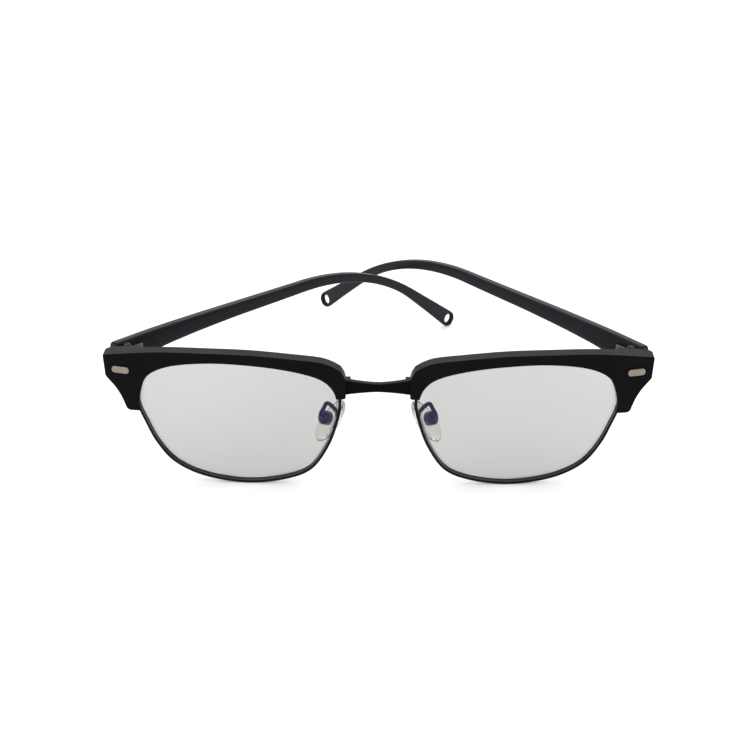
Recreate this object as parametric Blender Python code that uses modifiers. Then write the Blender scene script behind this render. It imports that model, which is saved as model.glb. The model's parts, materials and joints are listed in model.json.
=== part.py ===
"""Browline eyeglass frame: two brow bars, metal eye wires and bridge, clear
lenses, silicone nose pads on adjustable arms and two folding temples.

Metres, +Z up. The front faces -Y and the temples fold behind it, half closed
and crossed. The frame stands on its eye wires and on the tip of the lower
temple. Left and right are the wearer's: left is +X.
"""
import math

import bmesh
import bpy
from mathutils import Matrix, Vector

mm = 0.001

# Driving dimensions, the ones that an optician quotes
lensWidth = 51.0 * mm
lensHeight = 34.7 * mm
bridgeGap = 20.0 * mm
templeLength = 138.0 * mm

# Clearances
seatGap = 0.15 * mm        # between two pieces that sit against each other
runningGap = 0.15 * mm     # between two pieces that turn against each other
overrun = 1.0 * mm         # how far a cutter passes the face it cuts
weldDistance = 0.004 * mm

# Front: bow round the face
faceRadius = 900.0 * mm
bowSlice = 6.0 * mm        # spacing of the cuts that let flat faces bend

# Lens outline, as shares of half the width (outward) and half the height (up)
lensOutlineShares = (
    (0.31, 0.995), (0.675, 0.93), (0.90, 0.77), (0.985, 0.50), (1.0, 0.24),
    (0.93, -0.06), (0.84, -0.36), (0.69, -0.66), (0.465, -0.86), (0.18, -0.97),
    (-0.12, -1.0), (-0.45, -0.925), (-0.70, -0.755), (-0.87, -0.38), (-0.965, 0.02),
    (-1.0, 0.33), (-0.95, 0.60), (-0.80, 0.785), (-0.48, 0.91), (-0.08, 0.98),
)
lensThickness = 1.4 * mm
lensCrown = 1.3 * mm       # how far the middle of the lens stands forward
lensRingShares = (1.0, 0.70, 0.36)

# Eye wire
rimWidth = 1.1 * mm        # across, seen from the front
rimDepth = 1.8 * mm        # front to back
rimLip = 0.35 * mm         # overlap on the lens
rimCorner = 0.25 * mm

# Brow bar
browDepth = 3.4 * mm
browEdgeRound = 0.35 * mm
browRise = 2.4 * mm        # height of the bar above the lens
browReach = 8.3 * mm       # how far the end piece passes the lens
browDrop = 14.3 * mm       # height of the end piece below the top of the lens
browNasalReach = 1.9 * mm  # how far the nasal end passes the lens
browNasalDrop = 9.8 * mm
browFootOverlap = 2.0 * mm # how far the feet run in over the lens before it is cut out
endPieceExtra = 1.2 * mm   # how much thicker the end piece is, at its back
endPieceStart = -0.6 * mm  # where the thick part starts, from the end of the lens
# Outer contour from the nasal foot round to the temporal foot. Each point is a
# place across (share of the reach beyond that end of the lens, or of the lens
# width between its ends) and a place up (share of the rise or of the drop).
browNasalShares = (
    (0.50, -1.0), (0.88, -0.98), (1.0, -0.90), (1.0, -0.50), (0.80, -0.35), (0.35, -0.20),
)
browTopShares = (
    (0.02, -0.36), (0.06, 0.0), (0.10, 0.20), (0.19, 0.42), (0.43, 0.86), (0.665, 0.98),
    (0.84, 1.0), (0.97, 0.88),
)
browEndShares = ((0.985, 0.52), (1.0, 0.34))
browTempleShares = (
    (0.965, -0.31), (0.90, -0.37), (0.69, -0.53), (0.53, -0.70),
    (0.43, -0.86), (0.37, -0.955), (0.27, -0.99),
)

# Bridge bar
bridgeEndHeight = 4.3 * mm
bridgeMidHeight = 2.2 * mm
bridgeDepth = 1.4 * mm
bridgeTopDrop = 4.8 * mm   # from the top of the lens to the top of the bar's ends
bridgeArch = 1.2 * mm      # how far the middle of the top edge dips
bridgeTabDepth = 1.0 * mm
bridgeTabReach = 3.2 * mm  # how far a tab runs behind the brow bar
bridgeTabHeight = 3.0 * mm
bridgeShoulder = 1.0 * mm
bridgeSetback = 1.2 * mm   # from the face of the brow bar to the face of the bar

# Brow screw, through the bridge tab
browScrewRadius = 0.40 * mm
browScrewHeadRadius = 0.85 * mm
browScrewHeadHeight = 0.55 * mm
browScrewGrip = 1.7 * mm   # length in the brow bar
slotWidth = 0.25 * mm
slotDepth = 0.25 * mm

# Closing blocks of the eye wire, with their screw
blockWidth = 2.0 * mm
blockDepth = 1.9 * mm
blockHeight = 1.5 * mm
blockDrop = 8.6 * mm       # from the top of the lens to where the blocks meet
blockOverhangShare = 0.25  # how far the blocks stand outward, as a share of their width
lockScrewRadius = 0.35 * mm
lockScrewHeadRadius = 0.65 * mm
lockScrewHeadHeight = 0.45 * mm

# Nose pads on their arms
armRadius = 0.55 * mm
armDrop = 16.0 * mm        # from the top of the lens to where the arm leaves the wire
armStandoff = 1.2 * mm     # how far the arm runs straight back first
armLoopRise = 2.1 * mm     # from the foot to the top of the loop
armLoopReach = 2.8 * mm    # outward from the foot to the loop
armLoopBack = 2.6 * mm     # backward from the foot to the loop
# Bends of the arm, as shares of the loop's reach, back and rise
armBendShares = ((0.50, 0.70, 0.80), (1.0, 1.0, 1.0), (1.30, 1.10, 0.25))
armSeatShare = 2.0         # straight end at the box, as a share of the wire's radius
armSeatRise = 0.75 * mm    # from the middle of the box up to the wire's end
boxRadius = 1.9 * mm
boxDepth = 2.2 * mm
boxWall = 0.35 * mm
boxBaseShare = 0.7         # radius of the flat base
boxShoulderShare = 0.5     # height of the shoulder above it
boxReach = 3.4 * mm        # outward from the arm's foot to the box
boxBack = 4.6 * mm         # backward from the eye wire to the box
boxDrop = 3.1 * mm         # downward from the arm's foot to the box
padLength = 13.4 * mm
padWidth = 6.8 * mm
padThickness = 2.2 * mm
padTaperShare = 0.16       # how much narrower the top is than the foot
padBackShare = 0.31        # share of the thickness that lies behind the widest line
padLugShare = 0.35         # how deep the lug is rooted in the pad
padSag = 0.6 * mm          # how far the pad hangs below its lug
padStandoff = 0.55 * mm    # from the mouth of the box to the back of the pad
padLugWidth = 1.1 * mm
padLugHeight = 1.5 * mm
padScrewRadius = 0.25 * mm
padScrewHeadRadius = 0.5 * mm
padScrewHeadHeight = 0.35 * mm
padSlant = math.radians(33.0)   # how far the pad's foot leans outward
padSplay = math.radians(35.0)   # how far the pad faces backward

# Rivet plate on the end piece, with its two pins
rivetLength = 4.3 * mm
rivetHeight = 1.8 * mm
rivetProud = 0.35 * mm
rivetCornerShare = 0.42
rivetPinRadius = 0.45 * mm
rivetPinSpacing = 2.4 * mm
rivetPinLength = 2.0 * mm  # length in the brow bar
rivetSlope = math.radians(6.0)
rivetInset = 4.3 * mm      # from the outer end of the brow bar to the plate's middle
rivetDrop = 2.7 * mm       # below the top of the lens

# Hinge
hingeInset = 5.0 * mm      # from the outer end of the brow bar to the hinge axis
hingeDrop = 1.7 * mm       # below the top of the lens
hingeCant = math.radians(1.6)
knuckleRadius = 1.05 * mm
knuckleHeight = 1.3 * mm
leafThickness = 0.8 * mm
frontLeafWidth = 5.0 * mm
frontLeafHeight = 5.0 * mm
neckShare = 0.9            # how far the front neck reaches, as a share of the knuckle
templeLeafLength = 4.4 * mm
templeLeafHeight = 2.0 * mm
templeLeafSink = 0.45 * mm # how deep the leaf is let into the temple
hingeScrewRadius = 0.45 * mm
hingeScrewHeadRadius = 0.75 * mm
hingeScrewHeadHeight = 0.3 * mm

# Temple. Each station is a distance back from the hinge axis (share of the
# temple length), the height above and below the middle line, and the thickness.
templeRootReach = 2.4 * mm # in front of the hinge axis
templeRootGap = 0.6 * mm   # to the brow bar when the temple is open
templeRootUp = 2.6 * mm
templeRootDown = 5.0 * mm
templeThickness = 3.2 * mm
templeStationShares = (
    # back, up, down, thickness
    (0.04, 1.08, 0.75, 1.0), (0.10, 1.07, 0.53, 1.0), (0.18, 1.0, 0.40, 0.98),
    (0.28, 0.87, 0.33, 0.93), (0.40, 0.71, 0.33, 0.85), (0.54, 0.56, 0.31, 0.77),
    (0.68, 0.50, 0.255, 0.70), (0.80, 0.60, 0.25, 0.60), (0.90, 0.80, 0.37, 0.52),
    (1.0, 1.0, 0.53, 0.52),
)
templeSquareness = 2.8     # exponent of the oval section: 2 is an ellipse, more is squarer
templeSides = 16
templeStraight = 64.0 * mm # from the hinge axis to the start of the bend
templeBendRadius = 76.0 * mm
templeBend = math.radians(37.0)
templeSteps = 26
templeTipRadius = 2.7 * mm
cordHoleRadius = 1.5 * mm
coreRadius = 0.42 * mm
coreBoreRadius = 0.58 * mm
coreEndMargin = 30.0 * mm  # from the tip to the end of the core wire

# Pose: angle of each temple from the front
rightFold = math.radians(46.6)
leftFold = math.radians(49.5)

# Fineness
spanSteps = 3
roundSides = 20
smallSides = 12

colours = {
    # colour, roughness, metallic, alpha
    "matte_black_plastic": ((0.0065, 0.0070, 0.0080), 0.42, 0.0, 1.0),
    "black_enamelled_metal": ((0.0060, 0.0060, 0.0070), 0.30, 0.0, 1.0),
    "violet_black_metal": ((0.020, 0.018, 0.075), 0.25, 0.4, 1.0),
    "champagne_metal": ((0.42, 0.36, 0.29), 0.35, 1.0, 1.0),
    "grey_hinge_metal": ((0.17, 0.165, 0.145), 0.40, 1.0, 1.0),
    "demo_lens": ((0.72, 0.72, 0.70), 0.05, 0.0, 0.3),
    "clear_silicone": ((0.82, 0.80, 0.76), 0.12, 0.0, 0.45),
}

# Places worked out from the sizes above
halfLens = lensWidth / 2
lensMiddleX = (bridgeGap + lensWidth) / 2
lensMiddleZ = rimWidth - rimLip + lensHeight / 2
lensTopZ = lensMiddleZ + lensHeight / 2
browFrontY = rimDepth / 2 - browDepth
browBackY = rimDepth / 2
browEndX = lensMiddleX + halfLens + browReach
browNasalX = bridgeGap / 2 - browNasalReach


def clearScene():
    for obj in list(bpy.data.objects):
        bpy.data.objects.remove(obj, do_unlink=True)


def makeCollection(name):
    group = bpy.data.collections.new(name)
    bpy.context.scene.collection.children.link(group)
    return group


def makeMaterial(name):
    colour, roughness, metallic, alpha = colours[name]
    material = bpy.data.materials.new(name)
    material.use_nodes = True
    shader = material.node_tree.nodes["Principled BSDF"]
    shader.inputs["Base Color"].default_value = (*colour, 1.0)
    shader.inputs["Roughness"].default_value = roughness
    shader.inputs["Metallic"].default_value = metallic
    shader.inputs["Alpha"].default_value = alpha
    material.diffuse_color = (*colour, alpha)
    return material


clearScene()
partGroup = makeCollection("browline_eyeglass_frame")
cutterGroup = makeCollection("cutters")
materials = {name: makeMaterial(name) for name in colours}


# Outlines

def curveThrough(points, closed, steps=spanSteps):
    """Points of a smooth curve (Catmull-Rom) through the given ones."""
    points = [Vector(point) for point in points]
    count = len(points)
    spans = count if closed else count - 1
    out = []
    for span in range(spans):
        near = [points[(span + k) % count] if closed else points[min(max(span + k, 0), count - 1)]
                for k in (-1, 0, 1, 2)]
        for step in range(steps):
            t = step / steps
            out.append(0.5 * ((2 * near[1]) + (near[2] - near[0]) * t
                              + (2 * near[0] - 5 * near[1] + 4 * near[2] - near[3]) * t * t
                              + (3 * near[1] - near[0] - 3 * near[2] + near[3]) * t ** 3))
    if not closed:
        out.append(points[-1])
    return out


def lensOutline(margin=0.0):
    """The lens edge seen from the front, moved outward by a margin."""
    middle = Vector((lensMiddleX, lensMiddleZ))
    knots = [middle + Vector((across * halfLens, up * lensHeight / 2)) for across, up in lensOutlineShares]
    loop = curveThrough(knots, True)
    moved = []
    for index, point in enumerate(loop):
        ahead = loop[(index + 1) % len(loop)] - loop[index - 1]
        # The outline runs clockwise seen from the front, so its left side is outside
        outward = Vector((-ahead.y, ahead.x)).normalized()
        moved.append(point + outward * margin)
    return moved


def outlineAt(height, side, margin):
    """Where the moved outline crosses a height, on its nasal (-1) or temporal (1) side."""
    loop = lensOutline(margin)
    found = []
    for near, far in zip(loop, loop[1:] + loop[:1]):
        if (near.y - height) * (far.y - height) <= 0 and near.y != far.y:
            found.append(near.x + (far.x - near.x) * (height - near.y) / (far.y - near.y))
    return max(found) if side > 0 else min(found)


def bowAt(x):
    """How far back the front lies at a distance from the nose."""
    return x * x / (2 * faceRadius)


# Solids

def meshObject(name, mesh, group):
    obj = bpy.data.objects.new(name, mesh)
    group.objects.link(obj)
    return obj


def evaluatedMesh(obj):
    """A plain mesh of an object as it stands, with its modifiers applied."""
    bpy.context.view_layer.update()
    mesh = bpy.data.meshes.new_from_object(obj.evaluated_get(bpy.context.evaluated_depsgraph_get()))
    mesh.transform(obj.matrix_world)
    return mesh


def weld(mesh):
    """Join loose caps, drop doubled points and turn the faces outward."""
    shape = bmesh.new()
    shape.from_mesh(mesh)
    bmesh.ops.remove_doubles(shape, verts=shape.verts, dist=weldDistance)
    bmesh.ops.recalc_face_normals(shape, faces=shape.faces)
    shape.to_mesh(mesh)
    shape.free()
    return mesh


def asSolid(obj, name):
    """Replace a curve or a modified object by its closed mesh."""
    mesh = weld(evaluatedMesh(obj))
    mesh.name = name
    bpy.data.objects.remove(obj, do_unlink=True)
    return meshObject(name, mesh, partGroup)


def plate(name, outline, front, back):
    """A flat outline in X and Z, filled, from one Y to another."""
    curve = bpy.data.curves.new(name, "CURVE")
    curve.dimensions = "2D"
    curve.fill_mode = "BOTH"
    curve.extrude = (back - front) / 2
    spline = curve.splines.new("POLY")
    spline.points.add(len(outline) - 1)
    for point, place in zip(spline.points, outline):
        point.co = (place[0], place[1], 0, 1)
    spline.use_cyclic_u = True
    obj = bpy.data.objects.new(name, curve)
    obj.matrix_world = Matrix.Translation((0, (front + back) / 2, 0)) @ Matrix.Rotation(math.radians(90), 4, "X")
    partGroup.objects.link(obj)
    return asSolid(obj, name)


def wire(name, places, radius, resolution=2):
    """A round wire with flat ends through the given places."""
    curve = bpy.data.curves.new(name, "CURVE")
    curve.dimensions = "3D"
    curve.bevel_depth = radius
    curve.bevel_resolution = resolution
    curve.use_fill_caps = True
    spline = curve.splines.new("POLY")
    spline.points.add(len(places) - 1)
    for point, place in zip(spline.points, places):
        point.co = (*place, 1)
    obj = bpy.data.objects.new(name, curve)
    partGroup.objects.link(obj)
    return asSolid(obj, name)


def cylinder(name, start, end, radius, sides=smallSides, endRadius=None):
    """A round bar, or a cone frustum, from one place to another."""
    start = Vector(start)
    end = Vector(end)
    along = end - start
    mesh = bpy.data.meshes.new(name)
    shape = bmesh.new()
    place = Matrix.Translation((start + end) / 2) @ along.to_track_quat("Z", "Y").to_matrix().to_4x4()
    bmesh.ops.create_cone(
        shape, cap_ends=True, segments=sides, radius1=radius,
        radius2=radius if endRadius is None else endRadius, depth=along.length, matrix=place)
    shape.to_mesh(mesh)
    shape.free()
    return meshObject(name, mesh, partGroup)


def block(name, low, high):
    """A box between two corners."""
    low = Vector(low)
    high = Vector(high)
    mesh = bpy.data.meshes.new(name)
    shape = bmesh.new()
    place = Matrix.Translation((low + high) / 2) @ Matrix.Diagonal((*(high - low), 1))
    bmesh.ops.create_cube(shape, size=1, matrix=place)
    shape.to_mesh(mesh)
    shape.free()
    return meshObject(name, mesh, partGroup)


def combine(obj, others, operation):
    """Cut or join other solids into this one."""
    for other in others:
        step = obj.modifiers.new(operation.lower(), "BOOLEAN")
        step.operation = operation
        step.solver = "EXACT"
        step.object = other
        cutterGroup.objects.link(other)
        partGroup.objects.unlink(other)
        other.hide_render = True
        other.display_type = "WIRE"
    return asSolid(obj, obj.name)


def cut(obj, *others):
    return combine(obj, others, "DIFFERENCE")


def join(obj, *others):
    return combine(obj, others, "UNION")


def roundEdges(obj, width, segments=2):
    bevel = obj.modifiers.new("edges", "BEVEL")
    bevel.width = width
    bevel.segments = segments
    bevel.limit_method = "ANGLE"
    bevel.angle_limit = math.radians(40)
    return asSolid(obj, obj.name)


def bowed(obj, flatFaces):
    """Bend a front piece round the face, slicing long flat faces first."""
    shape = bmesh.new()
    shape.from_mesh(obj.data)
    across = [vertex.co.x for vertex in shape.verts]
    slices = int((max(across) - min(across)) / bowSlice) if flatFaces else 0
    for index in range(slices):
        x = min(across) + (index + 1) * (max(across) - min(across)) / (slices + 1)
        everything = list(shape.verts) + list(shape.edges) + list(shape.faces)
        bmesh.ops.bisect_plane(shape, geom=everything, plane_co=(x, 0, 0), plane_no=(1, 0, 0))
    for vertex in shape.verts:
        vertex.co.y += bowAt(vertex.co.x)
    shape.to_mesh(obj.data)
    shape.free()
    return obj


def mirrored(obj, name):
    """The same piece for the wearer's other side."""
    mesh = obj.data.copy()
    mesh.transform(Matrix.Diagonal((-1, 1, 1, 1)))
    return meshObject(name, weld(mesh), partGroup)


def finish(obj, materialName, parent):
    """Give a piece its material, its smooth shading and its parent."""
    obj.data.materials.clear()
    obj.data.materials.append(materials[materialName])
    obj.data.shade_smooth()
    obj.data.set_sharp_from_angle(angle=math.radians(35))
    obj.parent = parent
    return obj


def emptyAt(name, place, parent=None):
    empty = bpy.data.objects.new(name, None)
    partGroup.objects.link(empty)
    empty.location = place
    empty.parent = parent
    return empty


def slot(name, middle, along, outward, length):
    """The cutter of a screw head's driver slot."""
    along = Vector(along).normalized()
    outward = Vector(outward).normalized()
    side = outward.cross(along)
    obj = block(name, (-length, -slotWidth / 2, -slotDepth), (length, slotWidth / 2, overrun))
    frame = Matrix((along, side, outward)).transposed().to_4x4()
    obj.data.transform(Matrix.Translation(Vector(middle)) @ frame)
    return obj


# Front pieces, modelled flat for the left (+X) side

def makeLens():
    """A meniscus: rings inward from the edge, crowned forward, with a V edge."""
    edgeInset = rimLip / 2
    middle = Vector((lensMiddleX, lensMiddleZ))
    mesh = bpy.data.meshes.new("lens")
    shape = bmesh.new()

    def ring(share, inset, y):
        outline = lensOutline(-inset)
        return [shape.verts.new((middle.x + (p.x - middle.x) * share, y, middle.y + (p.y - middle.y) * share))
                for p in outline]

    def crown(share):
        return -lensCrown * (1 - share * share)

    rings = [ring(share, edgeInset * 2, crown(share) - lensThickness / 2) for share in reversed(lensRingShares)]
    rings.append(ring(1, 0, 0))
    rings.extend(ring(share, edgeInset * 2, crown(share) + lensThickness / 2) for share in lensRingShares)
    for near, far in zip(rings, rings[1:]):
        for index in range(len(near)):
            after = (index + 1) % len(near)
            shape.faces.new((near[index], near[after], far[after], far[index]))
    for edge, side in ((rings[0], -1), (rings[-1], 1)):
        pole = shape.verts.new((middle.x, crown(0) + side * lensThickness / 2, middle.y))
        for index in range(len(edge)):
            shape.faces.new((edge[index], edge[(index + 1) % len(edge)], pole))
    bmesh.ops.recalc_face_normals(shape, faces=shape.faces)
    shape.to_mesh(mesh)
    shape.free()
    return meshObject("lens", mesh, partGroup)


def makeRim():
    """The eye wire: its section, with the groove for the lens, run round the outline."""
    half = rimDepth / 2
    outer = rimWidth - rimLip
    grooveHalf = lensThickness / 2 + seatGap
    section = (
        (-rimLip, -half), (outer - rimCorner, -half), (outer, -half + rimCorner),
        (outer, half - rimCorner), (outer - rimCorner, half), (-rimLip, half),
        (-rimLip, grooveHalf), (seatGap, 0), (-rimLip, -grooveHalf),
    )
    mesh = bpy.data.meshes.new("rim")
    shape = bmesh.new()
    loops = []
    for margin, y in section:
        loops.append([shape.verts.new((p.x, y, p.y)) for p in lensOutline(margin)])
    for near, far in zip(loops, loops[1:] + loops[:1]):
        for index in range(len(near)):
            after = (index + 1) % len(near)
            shape.faces.new((near[index], near[after], far[after], far[index]))
    bmesh.ops.recalc_face_normals(shape, faces=shape.faces)
    shape.to_mesh(mesh)
    shape.free()
    return meshObject("rim", mesh, partGroup)


def browContour():
    """The brow bar from the front, closed by a line that runs across the lens."""
    nasalX = lensMiddleX - halfLens
    templeX = lensMiddleX + halfLens
    outer = []
    for across, up in browNasalShares:
        outer.append((nasalX - across * browNasalReach, lensTopZ + up * browNasalDrop))
    top = [(nasalX + across * lensWidth, lensTopZ + up * browRise) for across, up in browTopShares]
    top.append((templeX + browEndShares[0][0] * browReach, lensTopZ + browEndShares[0][1] * browRise))
    outer.extend(tuple(place) for place in curveThrough(top, False))
    outer.append((templeX + browEndShares[1][0] * browReach, lensTopZ + browEndShares[1][1] * browRise))
    side = [(templeX + across * browReach, lensTopZ + up * browDrop) for across, up in browTempleShares]
    outer.extend(tuple(place) for place in curveThrough(side, False, 2))
    outer.append((templeX - browFootOverlap, lensTopZ - browDrop))
    outer.append((nasalX + browFootOverlap, lensTopZ - browNasalDrop))
    return outer


def rivetPinPlaces():
    middle = Vector((browEndX - rivetInset, lensTopZ - rivetDrop))
    along = Vector((math.cos(rivetSlope), math.sin(rivetSlope)))
    return [middle + along * side * rivetPinSpacing / 2 for side in (-1, 1)]


def browScrewPlace():
    """Halfway between the nasal end of the bar and the eye wire."""
    height = lensTopZ - bridgeTopDrop - bridgeEndHeight / 2
    return Vector(((browNasalX + outlineAt(height, -1, rimWidth - rimLip)) / 2, height))


def makeBrow():
    brow = roundEdges(plate("brow", browContour(), browFrontY, browBackY + endPieceExtra), browEdgeRound)
    templeX = lensMiddleX + halfLens
    behind = browBackY + endPieceExtra + overrun
    top = lensTopZ + browRise + overrun
    # The thick part stays clear of the closing blocks
    step = lensTopZ - blockDrop + blockHeight + seatGap * 2
    side = blockMiddleX() + blockWidth / 2 + seatGap
    start = min(templeX + endPieceStart, side)
    low = lensTopZ - browDrop - overrun
    recess = plate("recess", (
        (browNasalX - overrun, low), (side, low), (side, step),
        (start, step), (start, top), (browNasalX - overrun, top),
    ), browBackY, behind)
    front = -rimDepth / 2 - seatGap
    rebate = plate("rebate", lensOutline(rimWidth - rimLip + seatGap), front, behind)
    opening = plate("opening", lensOutline(-rimLip), browFrontY - overrun, front + overrun / 2)
    screw = browScrewPlace()
    hole = cylinder(
        "screw_hole", (screw.x, browBackY - browScrewGrip - seatGap * 2, screw.y),
        (screw.x, browBackY + overrun, screw.y), browScrewRadius + seatGap)
    pins = [cylinder(
        "pin_hole", (place.x, browFrontY - overrun, place.y),
        (place.x, browFrontY + rivetPinLength + seatGap, place.y), rivetPinRadius + seatGap)
            for place in rivetPinPlaces()]
    return cut(brow, recess, opening, rebate, hole, *pins)


def makeRivetPlate():
    """An oblong plate with round corners and two pins in the brow bar."""
    corner = rivetHeight * rivetCornerShare
    outline = []
    for quarter, (sx, sz) in enumerate(((1, 1), (-1, 1), (-1, -1), (1, -1))):
        for step in range(4):
            angle = math.radians(90) * (quarter + step / 3)
            outline.append(Vector((
                sx * (rivetLength / 2 - corner) + math.cos(angle) * corner,
                sz * (rivetHeight / 2 - corner) + math.sin(angle) * corner)))
    turn = Matrix.Rotation(rivetSlope, 2)
    middle = Vector((browEndX - rivetInset, lensTopZ - rivetDrop))
    outline = [middle + turn @ place for place in outline]
    face = browFrontY - seatGap
    head = plate("rivet_plate", outline, face - rivetProud, face)
    pins = [cylinder("pin", (place.x, face - rivetProud / 2, place.y),
                     (place.x, browFrontY + rivetPinLength, place.y), rivetPinRadius)
            for place in rivetPinPlaces()]
    return join(head, *pins)


def makeBridge():
    """The bar between the brow bars, with a tab behind each of them."""
    end = browNasalX - seatGap
    face = browFrontY + bridgeSetback
    back = face + bridgeDepth
    topEnd = lensTopZ - bridgeTopDrop
    topMiddle = topEnd - bridgeArch
    top = curveThrough([(-end, topEnd), (-end / 2, (topEnd + 2 * topMiddle) / 3), (0, topMiddle),
                        (end / 2, (topEnd + 2 * topMiddle) / 3), (end, topEnd)], False)
    low = topEnd - bridgeEndHeight
    lowMiddle = topMiddle - bridgeMidHeight
    bottom = curveThrough([(end, low), (end / 2, (low + 2 * lowMiddle) / 3), (0, lowMiddle),
                           (-end / 2, (low + 2 * lowMiddle) / 3), (-end, low)], False)
    bar = plate("bridge", top + bottom, face, back)
    tabFace = browBackY + seatGap
    tabMiddle = topEnd - bridgeEndHeight / 2
    extras = []
    for side in (-1, 1):
        shoulder = sorted((side * end, side * (end - bridgeShoulder)))
        extras.append(block(
            "shoulder", (shoulder[0], (face + back) / 2, tabMiddle - bridgeTabHeight / 2),
            (shoulder[1], tabFace + bridgeTabDepth, tabMiddle + bridgeTabHeight / 2)))
        tab = sorted((side * (end - bridgeShoulder / 2), side * (browNasalX + bridgeTabReach)))
        extras.append(block(
            "tab", (tab[0], tabFace, tabMiddle - bridgeTabHeight / 2),
            (tab[1], tabFace + bridgeTabDepth, tabMiddle + bridgeTabHeight / 2)))
    bridge = join(bar, *extras)
    screw = browScrewPlace()
    holes = [cylinder("screw_hole", (side * screw.x, tabFace - overrun / 2, screw.y),
                      (side * screw.x, tabFace + bridgeTabDepth + overrun, screw.y), browScrewRadius + seatGap)
             for side in (-1, 1)]
    return cut(bridge, *holes)


def makeBrowScrew():
    place = browScrewPlace()
    seat = browBackY + seatGap + bridgeTabDepth + seatGap
    tip = browBackY - browScrewGrip
    head = cylinder("brow_screw", (place.x, seat, place.y), (place.x, seat + browScrewHeadHeight, place.y),
                    browScrewHeadRadius)
    shank = cylinder("shank", (place.x, tip, place.y), (place.x, seat + browScrewHeadHeight / 2, place.y),
                     browScrewRadius)
    driver = slot("driver", (place.x, seat + browScrewHeadHeight, place.y), (1, 0, 1), (0, 1, 0), browScrewHeadRadius)
    return cut(join(head, shank), driver)


def blockMiddleX():
    """The closing blocks stand out from the eye wire's outer side."""
    return outlineAt(lensTopZ - blockDrop, 1, rimWidth - rimLip) + blockWidth * blockOverhangShare


def makeLockBlocks():
    """The two halves of the closing block, each bored for the screw."""
    x = blockMiddleX()
    front = browBackY + seatGap
    z = lensTopZ - blockDrop
    halves = []
    for name, low in (("upper", z + seatGap / 2), ("lower", z - seatGap / 2 - blockHeight)):
        half = block(name, (x - blockWidth / 2, front, low), (x + blockWidth / 2, front + blockDepth, low + blockHeight))
        bore = cylinder("bore", (x, front + blockDepth / 2, low - overrun),
                        (x, front + blockDepth / 2, low + blockHeight + overrun), lockScrewRadius + seatGap)
        halves.append(cut(half, bore))
    return halves


def makeLockScrew():
    x = blockMiddleX()
    y = browBackY + seatGap + blockDepth / 2
    z = lensTopZ - blockDrop
    seat = z - seatGap / 2 - blockHeight - seatGap
    head = cylinder("lock_screw", (x, y, seat - lockScrewHeadHeight), (x, y, seat), lockScrewHeadRadius)
    shank = cylinder("shank", (x, y, seat - lockScrewHeadHeight / 2), (x, y, z + seatGap / 2 + blockHeight),
                     lockScrewRadius)
    driver = slot("driver", (x, y, seat - lockScrewHeadHeight), (1, 0, 0), (0, 0, -1), lockScrewHeadRadius)
    return cut(join(head, shank), driver)


# Nose pads

def armFoot():
    """Where the pad arm leaves the back of the eye wire."""
    height = lensTopZ - armDrop
    return Vector((outlineAt(height, -1, rimWidth / 2 - rimLip), rimDepth / 2 + seatGap, height))


def padFrame():
    """Axes of the pad: along its screw, up its length and out of its face."""
    outFace = Vector((
        -math.cos(padSplay) * math.cos(padSlant), math.sin(padSplay),
        -math.cos(padSplay) * math.sin(padSlant)))
    length = Vector((-math.sin(padSlant), 0, math.cos(padSlant)))
    screw = length.cross(outFace).normalized()
    return Matrix((screw, length, outFace)).transposed().to_4x4()


def boxMiddle():
    foot = armFoot()
    return Vector((foot.x + boxReach, rimDepth / 2 + boxBack, foot.z - boxDrop))


def makePadArm():
    foot = armFoot()
    back = -(padFrame().col[2].xyz)
    seat = boxMiddle() + back * (boxDepth / 2 + seatGap) + padFrame().col[1].xyz * armSeatRise
    places = [foot, foot + Vector((0, armStandoff, 0))]
    places.extend(foot + Vector((armLoopReach * outward, armLoopBack * behind, armLoopRise * up))
                  for outward, behind, up in armBendShares)
    places.extend((seat + back * armRadius * armSeatShare, seat))
    return wire("pad_arm", curveThrough(places, False, 3), armRadius, 1)


def makePadBox():
    """A round cup, turned about its axis, open towards the pad."""
    half = boxDepth / 2
    bore = boxRadius - boxWall
    profile = (
        (0, -half), (boxRadius * boxBaseShare, -half), (boxRadius, -half * boxShoulderShare), (boxRadius, half),
        (bore, half), (bore, -half + boxWall), (0, -half + boxWall),
    )
    mesh = bpy.data.meshes.new("pad_box")
    shape = bmesh.new()
    corners = [shape.verts.new((radius, 0, height)) for radius, height in profile]
    for near, far in zip(corners, corners[1:]):
        shape.edges.new((near, far))
    shape.to_mesh(mesh)
    shape.free()
    cup = meshObject("pad_box", mesh, partGroup)
    turn = cup.modifiers.new("turn", "SCREW")
    turn.steps = roundSides
    turn.render_steps = roundSides
    turn.use_merge_vertices = True
    turn.merge_threshold = weldDistance
    turn.axis = "Z"
    cup = asSolid(cup, "pad_box")
    reach = boxRadius + overrun
    bore = cylinder("screw_bore", (-reach, 0, 0), (reach, 0, 0), padScrewRadius + seatGap / 2)
    cup = cut(cup, bore)
    cup.data.transform(Matrix.Translation(boxMiddle()) @ padFrame())
    return cup


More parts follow.
